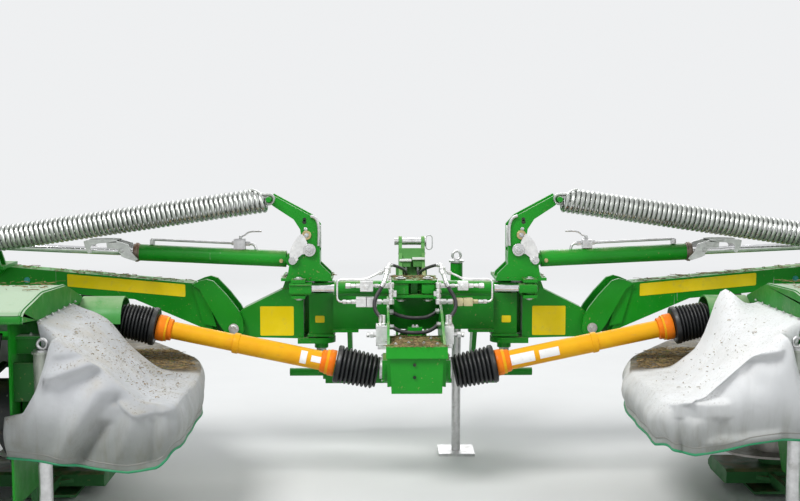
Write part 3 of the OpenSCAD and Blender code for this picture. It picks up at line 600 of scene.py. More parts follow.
def smooth_route(knots, steps=6):
    """Points on a soft curve through given knots (Catmull-Rom)."""
    padded = [knots[0] * 2 - knots[1]] + list(knots) + [knots[-1] * 2 - knots[-2]]
    route = []
    for p, q, r, s in zip(padded, padded[1:], padded[2:], padded[3:]):
        for k in range(steps):
            t = k / steps
            route.append(0.5 * (2 * q + (r - p) * t + (2 * p - 5 * q + 4 * r - s) * t * t
                                + (3 * q - p - 3 * r + s) * t ** 3))
    return route + [knots[-1]]


three_knots = [at(1, 0, 0, 0), at(1, 50, 0, 20), at(1, 100, 0, 0)]
print("points on a soft curve through three knots", len(smooth_route(three_knots)))

# %% Wind the springs
# Both pins of the spring as (x, z), and its line: inner pin, place forward of the swing pins, and angle
SPRING_IN, SPRING_OUT = (602, 1159), (2300, 913)
SPRING = (SPRING_IN, -225, rise(SPRING_IN, SPRING_OUT))
COIL_RADIUS, WIRE_RADIUS, TURNS, COIL_START = 44.5, 8.7, 83, 14
END_SHRINK, END_TURNS, HOOK_WIRE = 15, 3.2, 6.6
# The hook's bend, as distance along the spring and height over its axis, from the top of a turn round the pin
HOOK = [(80, 45), (66, 47), (52, 41), (38, 30), (20, 22), (2, 19), (-12, 14), (-19, 2), (-13, -13), (3, -19),
        (17, -12)]


def spring_parts(side):
    """The wound length and the two hooks, which leave the last turns at the top."""
    run = math.dist(SPRING_IN, SPRING_OUT)
    pitch = (run - 2 * COIL_START - 12) / TURNS
    steps = 20
    helix = []
    for k in range(TURNS * steps + 1):
        t = k / steps
        angle = 2 * math.pi * t
        shrink = END_SHRINK * max(0.0, 1 - min(t, TURNS - t) / END_TURNS) ** 1.3
        radius = COIL_RADIUS - shrink
        helix.append(slanted(side, *SPRING, COIL_START + t * pitch, radius * math.cos(angle) - shrink,
                             radius * math.sin(angle)))
    parts = [swept(helix, WIRE_RADIUS, 10)]
    for anchor, way in ((0, 1), (run, -1)):
        loop = [slanted(side, *SPRING, anchor + way * u, v) for u, v in HOOK]
        parts.append(swept(smooth_route(loop, 4), HOOK_WIRE, 10))
    return parts


for tag, side in SIDES.items():
    spring = piece(f"relief_spring_{tag}", spring_parts(side), spring_wire, f"spring_{tag}")
    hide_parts(f"spring_{tag}")
    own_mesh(spring)
    print(spring.name, len(spring.data.polygons), "faces")

# %% [markdown]
# ## Ribbed boots
#
# A boot closes each cross joint of the drive shafts. It is blown from black rubber in even ribs, widest in
# the middle, and it flexes as the shaft turns. One profile of half waves is spun round the shaft's line.

# %% Parts turned on a lathe
def square_axes(direction):
    """Two unit vectors at right angles to a direction."""
    first = direction.normalized().orthogonal().normalized()
    return first, direction.normalized().cross(first)


def turned(start, direction, profile, sides=20, turn=0.0):
    """A solid of revolution from (distance, radius) pairs in millimetres along a direction."""
    step = direction.normalized() / 1000
    a, b = square_axes(direction)
    points = []
    for along, radius in profile:
        for k in range(sides):
            t = 2 * math.pi * k / sides + turn
            points.append(start + step * along + (a * math.cos(t) + b * math.sin(t)) * radius / 1000)
    return points, tube_faces(len(profile), sides)


print("faces of a turned hexagon", len(turned(at(1, 0, 0, 0), UP, [(0, 5), (4, 5)], 6)[1]))

# %% Ribbed boots
# The shaft's line from its inner joint, and the same line from its outer joint
SHAFT = (SHAFT_IN, DRIVE_Y, rise(SHAFT_IN, SHAFT_OUT))
SHAFT_END = (SHAFT_OUT, *SHAFT[1:])
BOOT_ROOT, BOOT_RIB, RIBS = 61, 14, 8


def boot_profile(wide, narrow):
    """(distance, radius) pairs: a smooth ring at the wide end, then ribs that shrink to the narrow end."""
    way = 1 if narrow > wide else -1
    ring, rim = 24, 10
    length = abs(narrow - wide) - ring - rim
    pairs = [(0, 53), (0, 70), (4, 76), (ring - 5, 77), (ring - 1, 71)]
    steps = 10
    for k in range(RIBS * steps + 1):
        t = k / steps / RIBS
        rib = abs(math.sin(math.pi * k / steps)) ** 0.6
        pairs.append((ring + length * t, BOOT_ROOT - 5 * t + BOOT_RIB * rib))
    pairs += [(ring + length + 3, 62), (ring + length + rim, 61), (ring + length + rim, 52)]
    pairs = [(wide + way * u, radius) for u, radius in pairs]
    return pairs if way > 0 else pairs[::-1]


# The joint, the places of its wide and narrow ends, and the body that holds the wide end
BOOTS = {"in": (SHAFT, 88, -84, "root"), "out": (SHAFT_END, -88, 58, "wing")}
for tag, side in SIDES.items():
    for end, (joint, wide, narrow, fixed) in BOOTS.items():
        profile = boot_profile(wide, narrow)
        boot = piece(f"ribbed_boot_{end}_{tag}",
                     [turned(slanted(side, *joint, 0), course(side, *joint), profile, 40)],
                     boot_black, sharp=60)
        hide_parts(f"shaft_boot_{end}_{tag}")
        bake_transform(boot)
print("boots", 2 * len(SIDES))

# %% [markdown]
# ## Plate, blocks, rings and bent pipe
#
# The rest of a machine is mostly cut from plate, milled from a block, turned as a ring or bent from pipe.
# Each way of working gets a small maker, so that a fitting can be written down as a row of numbers.

# %% Makers for sheet metal and fittings
def plate(corners, thickness):
    """A flat plate from its corner points, thickened along its own normal by millimetres."""
    normal = (corners[1] - corners[0]).cross(corners[2] - corners[1]).normalized() * thickness / 1000
    count = len(corners)
    points = list(corners) + [p + normal for p in corners]
    faces = [tuple(range(count)), tuple(range(2 * count - 1, count - 1, -1))]
    for i in range(count):
        j = (i + 1) % count
        faces.append((i, j, j + count, i + count))
    return points, faces


def block(side, low, high, chamfer=2.5):
    """A box between two corners in millimetres, with its edges broken."""
    net = bmesh.new()
    bmesh.ops.create_cube(net, size=1)
    a, b = at(side, *low), at(side, *high)
    for vert in net.verts:
        vert.co = Vector([(p + q) / 2 + (q - p) * c for p, q, c in zip(a, b, vert.co)])
    bmesh.ops.bevel(net, geom=list(net.edges), offset=chamfer / 1000, segments=2, profile=0.6, affect="EDGES")
    made = [v.co.copy() for v in net.verts], [tuple(v.index for v in f.verts) for f in net.faces]
    net.free()
    return made


def stack(start, direction, items):
    """Nuts, ferrules and tubes on one line, from (from, to, radius, sides) in millimetres."""
    parts = []
    for low, high, radius, sides in items:
        edge = min(1.5, (high - low) / 4)
        profile = [(low, radius - edge), (low + edge, radius), (high - edge, radius), (high, radius - edge)]
        parts.append(turned(start, direction, profile, sides))
    return parts


def bored(start, direction, profile, bore, sides=32):
    """A ring: a turned profile with a bore of one radius through it."""
    closed = [(profile[0][0], bore)] + profile + [(profile[-1][0], bore)]
    points, faces = turned(start, direction, closed, sides)
    last = len(closed) - 1
    ends = [(last * sides + k, last * sides + (k + 1) % sides, (k + 1) % sides, k) for k in range(sides)]
    return points, faces[:-2] + ends


def bent_route(corners, radius, steps=5):
    """A pipe's route: straight lengths with every corner rounded."""
    route = [corners[0]]
    for before, corner, after in zip(corners, corners[1:], corners[2:]):
        a = corner + (before - corner).normalized() * radius / 1000
        b = corner + (after - corner).normalized() * radius / 1000
        for k in range(steps + 1):
            t = k / steps
            route.append(a * (1 - t) ** 2 + corner * 2 * t * (1 - t) + b * t * t)
    return route + [corners[-1]]


print("faces of a block with broken edges", len(block(1, (0, 0, 0), (40, 40, 40))[1]))

# %% [markdown]
# ## Hoods over the conditioners
#
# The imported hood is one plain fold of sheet. The real one has rounded folds, a lip at each edge and a rear
# panel that stops short of the ends, so this piece stands in for it and keeps its outline. The stand's
# sleeve that it carries is a galvanised tube, which is why it has a finish of its own.

# %% Hoods, their caps and the stands' sleeves
HOOD_FRONT = [(-150, 600), (-300, 690), (-460, 786), (-700, 860), (-1010, 873), (-1240, 840), (-1262, 822),
              (-1258, 806)]
HOOD_REAR = [(-1236, 837), (-1262, 822), (-1350, 740), (-1366, 560), (-1366, 480), (-1352, 474)]
CAP_LOW = [(-1262, 806), (-1225, 800), (-1100, 790), (-690, 764), (-500, 766)]
# The unit's middle, both ends of the hood, how much shorter the rear panel is, and the cap's thickness
UNIT_X = 2780
HOOD_IN, HOOD_OUT, PANEL_INSET, CAP_PLATE = 1330, 2 * UNIT_X - 1330, 100, 8
BRACKETS, BRACKET_WIDE = (1500, UNIT_X - 20, 4020), 40


def rounded_line(corners, radius, steps=5):
    """A bent line in Y and Z with rounded corners."""
    return [(p.y, p.z) for p in bent_route([Vector((0, y, z)) for y, z in corners], radius * 1000, steps)]


def folded_sheet(side, line, x_low, x_high, thickness=6):
    """A sheet bent along a line in Y and Z, between two distances from the middle."""
    points, faces, count = [], [], len(line)
    for x in (x_low, x_high):
        for way in (0.5, -0.5):
            for i, (y, z) in enumerate(line):
                p, q = line[max(0, i - 1)], line[min(count - 1, i + 1)]
                length = math.dist(p, q)
                points.append(at(side, x, y - (q[1] - p[1]) / length * thickness * way,
                                 z + (q[0] - p[0]) / length * thickness * way))
    for i in range(count - 1):
        for a, b in ((0, 2), (3, 1), (1, 0), (2, 3)):
            faces.append((a * count + i, a * count + i + 1, b * count + i + 1, b * count + i))
    for i in (0, count - 1):
        faces.append((i, count + i, 3 * count + i, 2 * count + i))
    return points, faces


top_line, rear_line = rounded_line(HOOD_FRONT, 22), rounded_line(HOOD_REAR, 18)
cap = [p for p in top_line if p[0] <= -460] + CAP_LOW
for tag, side in SIDES.items():
    wing = f"wing_{tag}"
    parts = [folded_sheet(side, top_line, HOOD_IN, HOOD_OUT),
             folded_sheet(side, rear_line, HOOD_IN + PANEL_INSET, HOOD_OUT - PANEL_INSET)]
    for x in (HOOD_IN, HOOD_OUT - CAP_PLATE):
        parts.append(plate([at(side, x, y, z) for y, z in cap], CAP_PLATE * -side))
        parts.append(swept([at(side, x + 4, y, z + 1) for y, z in top_line if y <= -300], 5, 8))
        parts.append(swept([at(side, x + 4, y, z) for y, z in CAP_LOW], 4, 8))
    for x in BRACKETS:
        parts.append(block(side, (x, -152, 592), (x + BRACKET_WIDE, -60, 602)))
    parts.append(block(side, (1283, -1112, 676), (1392, -1072, 732)))
    parts.append(block(side, (1276, -1122, 730), (1392, -1062, 737), 1.5))
    hood = piece(f"hood_shell_{tag}", parts, hood_paint, wing, sharp=40)
    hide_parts(f"hood_{tag}")
    sleeve = bored(at(side, 1292, -1150, 0), UP, [(500, 30), (684, 30), (684, 36), (690, 36)], 24.4)
    piece(f"stand_sleeve_{tag}", [sleeve], galvanised, wing)
    # painted shade: a dark disc on the sleeve stands for its hole
    hole = stack(at(side, 1288, -1178, 618), BACK, [(-3, 0.6, 6, 16)])
    piece(f"sleeve_hole_{tag}", hole, painted_dark_shade, wing)
    holders = [block(side, (1318, -1158, 520), (1392, -1142, 650)),
               block(side, (1262, -1128, 560), (1322, -1118, 664))]
    # the sleeve's plates take the darker green of painted shade
    piece(f"sleeve_plates_{tag}", holders, painted_shade_green, wing)
    print(hood.name, len(hood.data.polygons), "faces")

# %% [markdown]
# ## Canvas guards
#
# Heavy coated canvas hangs round each mowing unit to catch stones. It is laced to the hood, falls over a
# bent tube and ends in a green hem. A cloth simulation would need the whole tube frame as a collider, so
# the fall is drawn instead: a net runs round the tube and inward to the hood, its height is read from a few
# slopes, and below the tube it bellies out and tucks in again at the hem.

# %% The cloth's plan and heights
# Pairs of points in plan: on the tube, and where the same strip of cloth is fixed
CLOTH_PLAN = [
    ((1410, -1200), (1410, -1190)), ((1345, -1200), (1350, -1186)), ((1262, -1200), (1268, -1160)),
    ((1236, -1200), (1318, -1108)), ((872, -1206), (1322, -1090)), ((836, -1158), (1322, -1050)),
    ((836, -604), (1322, -622)), ((846, -560), (1322, -575)), ((888, -345), (1322, -345)),
    ((1142, 66), (1322, -10)), ((1272, 188), (1328, 66)), ((1398, 306), (1400, 66)),
    ((1499, 352), (1500, 66)), ((UNIT_X, 352), (UNIT_X, 66)),
]
# The sloping top's height by distance from the middle, at its rear edge and at its front edge
SLOPE_REAR = [(836, 504), (960, 530), (1110, 664), (1200, 722), (1324, 784)]
SLOPE_FRONT = [(836, 502), (985, 516), (1078, 590), (1136, 655), (1182, 712), (1250, 748), (1324, 778)]
REAR_TOP = [(1236, 742), (1252, 724), (1262, 686), (1279, 618), (1306, 554), (1350, 480), (1410, 470)]
HEM_REAR = {
    "left": [(836, 356), (860, 322), (905, 296), (1000, 284), (1185, 302), (1410, 328)],
    "right": [(836, 372), (856, 350), (885, 340), (936, 334), (1036, 350), (1118, 372), (1229, 384),
              (1410, 380)],
}
SHELF, HEM_FRONT, TUBE_HEIGHT, TUBE_CLEAR = 512, 352, 489, 24
# How far the cloth bellies out below the tube, how far its hem is tucked in, and the wedge at its top
BULGE, TUCK, HUMP = {"left": 14, "right": 30}, {"left": -2, "right": -20}, {"left": 0, "right": 122}
HUMP_X = 1172


def along(table, x):
    """A value read from (x, value) pairs by straight lines."""
    for (x0, v0), (x1, v1) in zip(table, table[1:]):
        if x <= x1:
            return v0 + (v1 - v0) * max(0.0, (x - x0) / (x1 - x0))
    return table[-1][1]


def ease(x, low, high):
    """0 below low, 1 above high, and a soft S between."""
    t = min(1.0, max(0.0, (x - low) / (high - low)))
    return t * t * (3 - 2 * t)


def uneven(*place):
    """Smooth noise at a place."""
    return noise.noise(Vector(place))


def cloth_top(tag, x, y):
    """Height of the cloth over the frame, for the half that is nearer the machine's middle."""
    hump = HUMP[tag] * math.exp(-((x - HUMP_X) / (46 if x < HUMP_X else 72)) ** 2) * ease(y, -860, -660)
    rear_slope, front_slope = along(SLOPE_REAR, x), along(SLOPE_FRONT, x)
    slope = hump + rear_slope + (front_slope - rear_slope) * ease(y, -1100, -640)
    rear = along(REAR_TOP, x) if x > 1236 else slope
    behind = rear + (slope - rear) * ease(y, -1160, -1108)
    front = SHELF + (588 - SHELF) * ease(x, 1290, 1345) * min(1.0, max(0.0, (346 - y) / 282))
    return behind + (front - behind) * ease(y, -612, -568)


def plan_lines(fine=9, coarse=21):
    """The two lines of the plan, resampled and rounded at the corners; finer where the folds are."""
    outer, inner = [], []
    for (a, c), (b, d) in zip(CLOTH_PLAN, CLOTH_PLAN[1:]):
        count = max(1, round(math.dist(a, b) / (fine if a[1] < -570 else coarse)))
        for k in range(count):
            t = k / count
            outer.append((a[0] + (b[0] - a[0]) * t, a[1] + (b[1] - a[1]) * t))
            inner.append((c[0] + (d[0] - c[0]) * t, c[1] + (d[1] - c[1]) * t))
    outer.append(CLOTH_PLAN[-1][0])
    inner.append(CLOTH_PLAN[-1][1])
    for _ in range(7):
        outer = [outer[0]] + [((p[0] + 2 * q[0] + r[0]) / 4, (p[1] + 2 * q[1] + r[1]) / 4)
                              for p, q, r in zip(outer, outer[1:], outer[2:])] + [outer[-1]]
    return outer, inner

# %% [markdown]
# ### Creases
#
# Stiff coated cloth breaks into a few long creases and stays smooth between them. Each crease here is a
# line on the rear face, with how far it stands out, how wide it is, and how far the cloth below it falls
# back. That keeps the folds where the real ones are, which a simulation would not.

# %% Creases of the rear face
# (x, z) of one end, (x, z) of the other, height, width, and how far the cloth under it falls back
CREASES = {
    "left": [((1105, 660), (1268, 606), 24, 22, 24), ((1033, 528), (1168, 330), -34, 30, 0),
             ((1090, 570), (1225, 345), 26, 42, 0), ((1033, 526), (961, 486), 15, 13, 12),
             ((961, 486), (856, 496), 8, 14, 7), ((975, 470), (1035, 330), 14, 26, 0),
             ((905, 490), (925, 320), -14, 22, 0), ((1120, 700), (1230, 690), 9, 14, 5)],
    "right": [((905, 520), (1097, 676), 17, 17, 30), ((1097, 676), (1204, 694), 20, 15, 26),
              ((905, 520), (950, 500), 13, 11, 9), ((985, 372), (1215, 398), 13, 20, 0),
              ((868, 490), (892, 340), -16, 22, 0), ((842, 480), (862, 350), 10, 18, 0),
              ((1000, 560), (1030, 400), -13, 50, 0)],
}
# How round a ridge is, and two factors on its height: by itself, and over the cloth as a whole
CREASE_ROUND, CREASE_DEPTH, CREASE_GAIN = 0.04, 1.22, 1.35


def crease_push(tag, x, z):
    """How far the creases push a point of the rear face back, in millimetres."""
    push = 0.0
    for a, b, height, width, fall in CREASES[tag]:
        dx, dz = b[0] - a[0], b[1] - a[1]
        length = math.hypot(dx, dz)
        t = ((x - a[0]) * dx + (z - a[1]) * dz) / (length * length)
        held = min(1.0, max(0.0, t))
        off = math.dist((x, z), (a[0] + held * dx, a[1] + held * dz)) / width
        away = abs(dx * (z - a[1]) - dz * (x - a[0])) / length / width
        under = (dx * (z - a[1]) - dz * (x - a[0])) * (1 if dx > 0 else -1) < 0
        inside = ease(t, -0.3, 0.15) * (1 - ease(t, 0.85, 1.3))
        ridge = math.sqrt(1 + CREASE_ROUND) - math.sqrt(math.tanh(off) ** 2 + CREASE_ROUND)
        push += height * ridge * CREASE_DEPTH
        if under:
            push -= fall * (1 - math.exp(-away * 1.5)) * math.exp(-away / 5) * inside
    return push

# %% [markdown]
# ### From lines to cloth
#
# The net is built strip by strip. In each strip the points below the tube are pushed outward by ripples,
# by the belly, by slow noise and by the creases, and pulled inward by the tuck at the hem, but never
# through the tube. The points above it lie on the slope with a few soft dents.

# %% Strips of cloth
def cloth_columns(tag, seed):
    """Columns of points from the hem, over the tube and up to where the cloth is fixed."""
    outer, inner = plan_lines()
    drop_rows, top_rows = 38, 26
    columns, reach = [], 0.0
    for i, (o, a) in enumerate(zip(outer, inner)):
        p, q = outer[max(0, i - 1)], outer[min(len(outer) - 1, i + 1)]
        run = Vector((q[0] - p[0], q[1] - p[1])).normalized()
        out = Vector((-run.y, run.x))
        reach += math.dist(p, o) if i else 0
        edge_z = cloth_top(tag, *o) + 1
        rear = ease(-o[1], 1120, 1190)
        hem = along(HEM_REAR[tag], o[0]) * rear + HEM_FRONT * (1 - rear) + 9 * uneven(reach / 260, seed, 0)
        wave = math.sin(reach / 68 + seed) + 0.7 * math.sin(reach / 37 + 2 * seed)
        wave += 1.2 * uneven(reach / 60, seed, 3)
        column = []
        # Below the tube: ripples, belly, tuck, two sizes of noise and creases, but never through the tube
        for k in range(drop_rows):
            t = 1 - k / drop_rows
            z = edge_z + (hem - edge_z) * t
            push = 5 * wave * math.sin(math.pi * min(1.0, 0.1 + t)) * (1 - 0.5 * rear)
            push += (BULGE[tag] + (18 - BULGE[tag]) * rear) * math.sin(math.pi * min(1.0, t * 1.15))
            push -= (TUCK[tag] + (10 - TUCK[tag]) * rear) * t * t
            push += 7 * uneven(reach / 120, z / 120, seed)
            push += 3 * (1 - t) * uneven(reach / 45, z / 60, seed + 9)
            push += CREASE_GAIN * crease_push(tag, o[0], z) * rear
            push = max(push, -1 - max(0.0, abs(z - TUBE_HEIGHT) - TUBE_CLEAR) * 1.3)
            column.append((o[0] + out.x * push, o[1] + out.y * push, z))
        # Above the tube: on the slope, with soft dents and the upper ends of the creases
        for k in range(top_rows + 1):
            t = k / top_rows
            x, y = o[0] + (a[0] - o[0]) * t, o[1] + (a[1] - o[1]) * t
            free = ease(t, 0.0, 0.2) * ease(1 - t, 0.0, 0.15)
            dent = 9 * uneven(x / 110, y / 110, seed) + 5 * uneven(x / 45, y / 52, seed + 4)
            top = cloth_top(tag, x, y)
            lip = max(-1, CREASE_GAIN * crease_push(tag, x, top) * rear * (1 - ease(t, 0.0, 0.25)))
            column.append((x + out.x * lip, y + out.y * lip, top + 3 + (dent - 4) * free))
        columns.append(column)
    return columns


def cloth_net(tag, seed):
    """Both halves of a unit's cloth as columns of points in millimetres."""
    half = cloth_columns(tag, seed)
    other = [[(2 * UNIT_X - x, y, z) for x, y, z in column] for column in cloth_columns(tag, seed + 5)]
    return half + other[-2::-1]


print("strips on one half", len(plan_lines()[0]))

# %% Hang the cloth, with its hem and seam
def above_hem(column, height):
    """A point of a column at a height over its hem."""
    low = column[0]
    for p, q in zip(column, column[1:]):
        if q[2] - low[2] >= height:
            t = (height - (p[2] - low[2])) / (q[2] - p[2])
            return tuple(a + (b - a) * t for a, b in zip(p, q))
    return column[-1]


SEAM_HEIGHT = 24
for tag, side in SIDES.items():
    wing = f"wing_{tag}"
    columns = cloth_net(tag, 1.3 if side < 0 else 4.1)
    rows = len(columns[0])
    points = [at(side, *p) for column in columns for p in column]
    faces = [(i * rows + k, (i + 1) * rows + k, (i + 1) * rows + k + 1, i * rows + k + 1)
             for i in range(len(columns) - 1) for k in range(rows - 1)]
    cloth = piece(f"canvas_guard_{tag}", [(points, faces)], CANVAS[tag], wing, sharp=180)
    net = bmesh.new()
    net.from_mesh(cloth.data)
    bmesh.ops.smooth_vert(net, verts=[v for v in net.verts if not v.is_boundary], factor=0.5,
                          use_axis_x=True, use_axis_y=True, use_axis_z=True)
    cloth_area = sum(f.calc_area() for f in net.faces)
    net.to_mesh(cloth.data)
    net.free()
    thick = cloth.modifiers.new("thickness", "SOLIDIFY")
    thick.thickness, thick.offset = 0.0025, 0.0
    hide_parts(f"curtain_{tag}")
    edge = [at(side, *column[0]) for column in columns]
    hem = piece(f"canvas_hem_{tag}", [swept(edge, 5, 8)], hem_green, wing, sharp=180)
    stitches = [at(side, *above_hem(column, SEAM_HEIGHT)) for column in columns]
    seam = piece(f"canvas_seam_{tag}", [swept(stitches, 2.8, 6)], seam_thread, wing,
                 sharp=180)
    print(cloth.name, len(faces), "faces,", round(cloth_area, 3), "square metres")

# %% [markdown]
# ## Blank decals
#
# The yellow sign strips and the white stickers are left without print. Each is a thin plate with round
# corners that stands a hair off the paint, so that its edge catches the light. Those on the shaft guards
# bend round them.

# %% Flat decals
def label(centre, across, up, width, height, corner=5.0, thickness=0.8):
    """A thin plate with round corners round a centre, from two unit directions."""
    across, up = across.normalized(), up.normalized()
    outline = []
    for cx, cy, start in ((1, 1, 0), (-1, 1, 90), (-1, -1, 180), (1, -1, 270)):
        for k in range(4):
            t = math.radians(start + 30 * k)
            u = cx * (width / 2 - corner) + corner * math.cos(t)
            v = cy * (height / 2 - corner) + corner * math.sin(t)
            outline.append(centre + (across * u + up * v) / 1000)
    return plate(outline, thickness)


# How much the arm rises for each millimetre outward
ARM_RISE = 0.092
# Name, body, centre (x, y, z), width, height, and whether it slopes with the arm
DECALS = [
    ("carrier_label", "swing", (590, -44.6, 622), 145, 128, False),
    ("column_label", "root", (404, -50.6, 630), 40, 30, False),
    ("arm_label", "wing", (1236, -50.6, 779), 508, 54, True),
]
for tag, side in SIDES.items():
    for name, body, (x, y, z), width, height, slopes in DECALS:
        across = Vector((side, 0, ARM_RISE if slopes else 0))
        piece(f"{name}_{tag}", [label(at(side, x, y, z), across, UP, width, height)], yellow_film,
              body if body == "root" else f"{body}_{tag}")

# %% [markdown]
# ## Shaft guards
#
# Two guard tubes telescope over each shaft. Beside every boot sits an orange bearing collar with a pair of
# lugs, and the free end of the outer tube has a moulded bead. Stickers wrap round the tubes.

# %% Collars, beads and wrapped stickers
def wrapped(side, low, high, angle_low, angle_high, radius=39.1, thickness=0.8):
    """A sticker bent round a shaft between two distances and two angles; 0 looks back, 90 up."""
    columns, rows = 10, 2
    points, faces = [], []
    for layer in (radius, radius + thickness):
        for i in range(columns + 1):
            t = math.radians(angle_low + (angle_high - angle_low) * i / columns)
            for k in range(rows):
                s = low + (high - low) * k / (rows - 1)
                points.append(slanted(side, *SHAFT, s, layer * math.sin(t), -layer * math.cos(t)))
    shift = (columns + 1) * rows
    for i in range(columns):
        a, b = i * rows, (i + 1) * rows
        faces += [(a, b, b + 1, a + 1), (a + shift, a + 1 + shift, b + 1 + shift, b + shift)]
        faces += [(a, a + shift, b + shift, b), (a + 1, b + 1, b + 1 + shift, a + 1 + shift)]
    faces += [(0, 1, 1 + shift, shift), (shift - 2, 2 * shift - 2, 2 * shift - 1, shift - 1)]
    return points, faces


# From, to, lowest and highest angle of each sticker
STICKERS = {
    "right": [(101, 246, -24, 38), (266, 346, -20, 32)],
    "left": [(96, 188, -6, 30), (206, 232, -30, 50)],
}
# Each turned piece: the joint it is measured from, its body, its finish and its (distance, radius) pairs
GUARD_RINGS = {
    "bearing_collar_in": (SHAFT, "shaft_inner", collar_orange, [
        (90, 46), (90, 51.5), (93, 53), (112, 53), (116, 51), (120, 47), (142, 45.5), (146, 44),
        (149, 39.5)]),
    "guard_bead": (SHAFT, "shaft_inner", guard_yellow, [
        (482, 39.2), (484, 41.5), (500, 41.8), (506, 40.5), (507, 36)]),
    "bearing_collar_out": (SHAFT_END, "shaft_outer", collar_orange, [
        (-152, 35.5), (-149, 43), (-126, 45), (-124, 50.5), (-120, 52.5), (-97, 53), (-92, 52), (-91, 46)]),
}
for tag, side in SIDES.items():
    stickers = [wrapped(side, *sticker) for sticker in STICKERS[tag]]
    piece(f"tube_stickers_{tag}", stickers, white_film, f"shaft_inner_{tag}")
    for name, (joint, body, finish, profile) in GUARD_RINGS.items():
        ring = turned(slanted(side, *joint, 0), course(side, *SHAFT), profile, 36)
        piece(f"{name}_{tag}", [ring], finish, f"{body}_{tag}")
print("shaft guards dressed")

# %% [markdown]
# ## Bolts, washers and pins
#
# Hundreds of small fasteners hold such a machine together. Each is a hexagon head on a washer, turned with
# six sides, and all those of one body are joined into a single mesh, which is far lighter than separate
# objects.

# %% Fasteners
def bolt(point, direction, size):
    """A hexagon head on its washer; size is the thread's diameter in millimetres."""
    washer = [(-1, size * 1.05), (0, size * 1.1), (1.6, size * 1.1), (2, size)]
    head = [(1.8, size * 0.92), (size * 0.58, size * 0.92), (size * 0.68, size * 0.78)]
    return [turned(point, direction, washer, 20), turned(point, direction, head, 6, 0.3)]


def nut(point, direction, size):
    """A nut with the end of its bolt."""
    thread = [(2, size * 0.5), (size * 1.05, size * 0.5), (size * 1.15, size * 0.42)]
    return bolt(point, direction, size) + [turned(point, direction, thread, 12)]


# Body, place (x, y, z), direction, thread size, on the +X side
FASTENERS = [
    ("root", (82, -548, 604), UP, 8), ("root", (62, -420, 604), UP, 9),
    ("root", (30, -520, 604), UP, 8), ("root", (-8, -335, 640), UP, 9),
    ("root", (51, 208, 890), FORWARD, 10),
    ("swing", (400, 0, 800), UP, 26), ("swing", (400, 0, 500), DOWN, 26),
    ("swing", (455, -178, 1031), BACK, 7),
    ("swing", (368, -120, 824), UP, 9), ("swing", (540, -40, 824), UP, 9),
    ("wing", (773, -84, 595), BACK, 20), ("wing", (773, 84, 595), FORWARD, 20),
    ("wing", (2780, -72, 745), BACK, 22), ("wing", (2780, 72, 745), FORWARD, 22),
    ("wing", (2300, -262, 913), BACK, 13), ("wing", (1345, -1092, 737), UP, 8),
    ("wing", (1300, -1092, 737), UP, 6),
]
for y in range(-1090, -600, 80):
    FASTENERS.append(("wing", (1314, y, 786), UP, 5))
# Rings of bolts: body, distance from the middle, height, radius, direction, how many, first angle
BOLT_RINGS = [("wing", 1214, 677, 60, -1, 8, 0), ("root", 132, 490, 50, 1, 6, 0.3)]
for body, x, z, radius, way, count, first in BOLT_RINGS:
    for i in range(count):
        turn = 2 * math.pi * i / count + first
        spot = (x, DRIVE_Y + radius * math.cos(turn), z + radius * math.sin(turn))
        FASTENERS.append((body, spot, Vector((way, 0, 0)), 6))
for x in range(1360, 4220, 220):
    FASTENERS.append(("wing", (x, 60, 640), FORWARD, 8))

OWNERS = {"fasteners_root": ("root", (-1, 1))}
for body in ("swing", "wing"):
    for tag, side in SIDES.items():
        OWNERS[f"fasteners_{body}_{tag}"] = (f"{body}_{tag}", (side,))
for name, (body, sides) in OWNERS.items():
    parts = []
    for owner, place, way, size in FASTENERS:
        if body.startswith(owner):
            for side in sides:
                parts += nut(at(side, *place), Vector((side * way.x, way.y, way.z)), size)
    piece(name, parts, zinc_plate, body)
    print(name, len(parts), "turned parts")

# %% [markdown]
# ## Valves and pipes
#
# Beside each swing cylinder two lines of fittings join a valve block, a stop and a bent pipe. The packed
# node has their plain form. This piece stands in for it, with hexagon nuts, bosses and pipes that bend
# round their corners.

# %% Two lines of fittings on each side
VALVE_Y, VALVE_UP, VALVE_LOW = -288, 805, 739


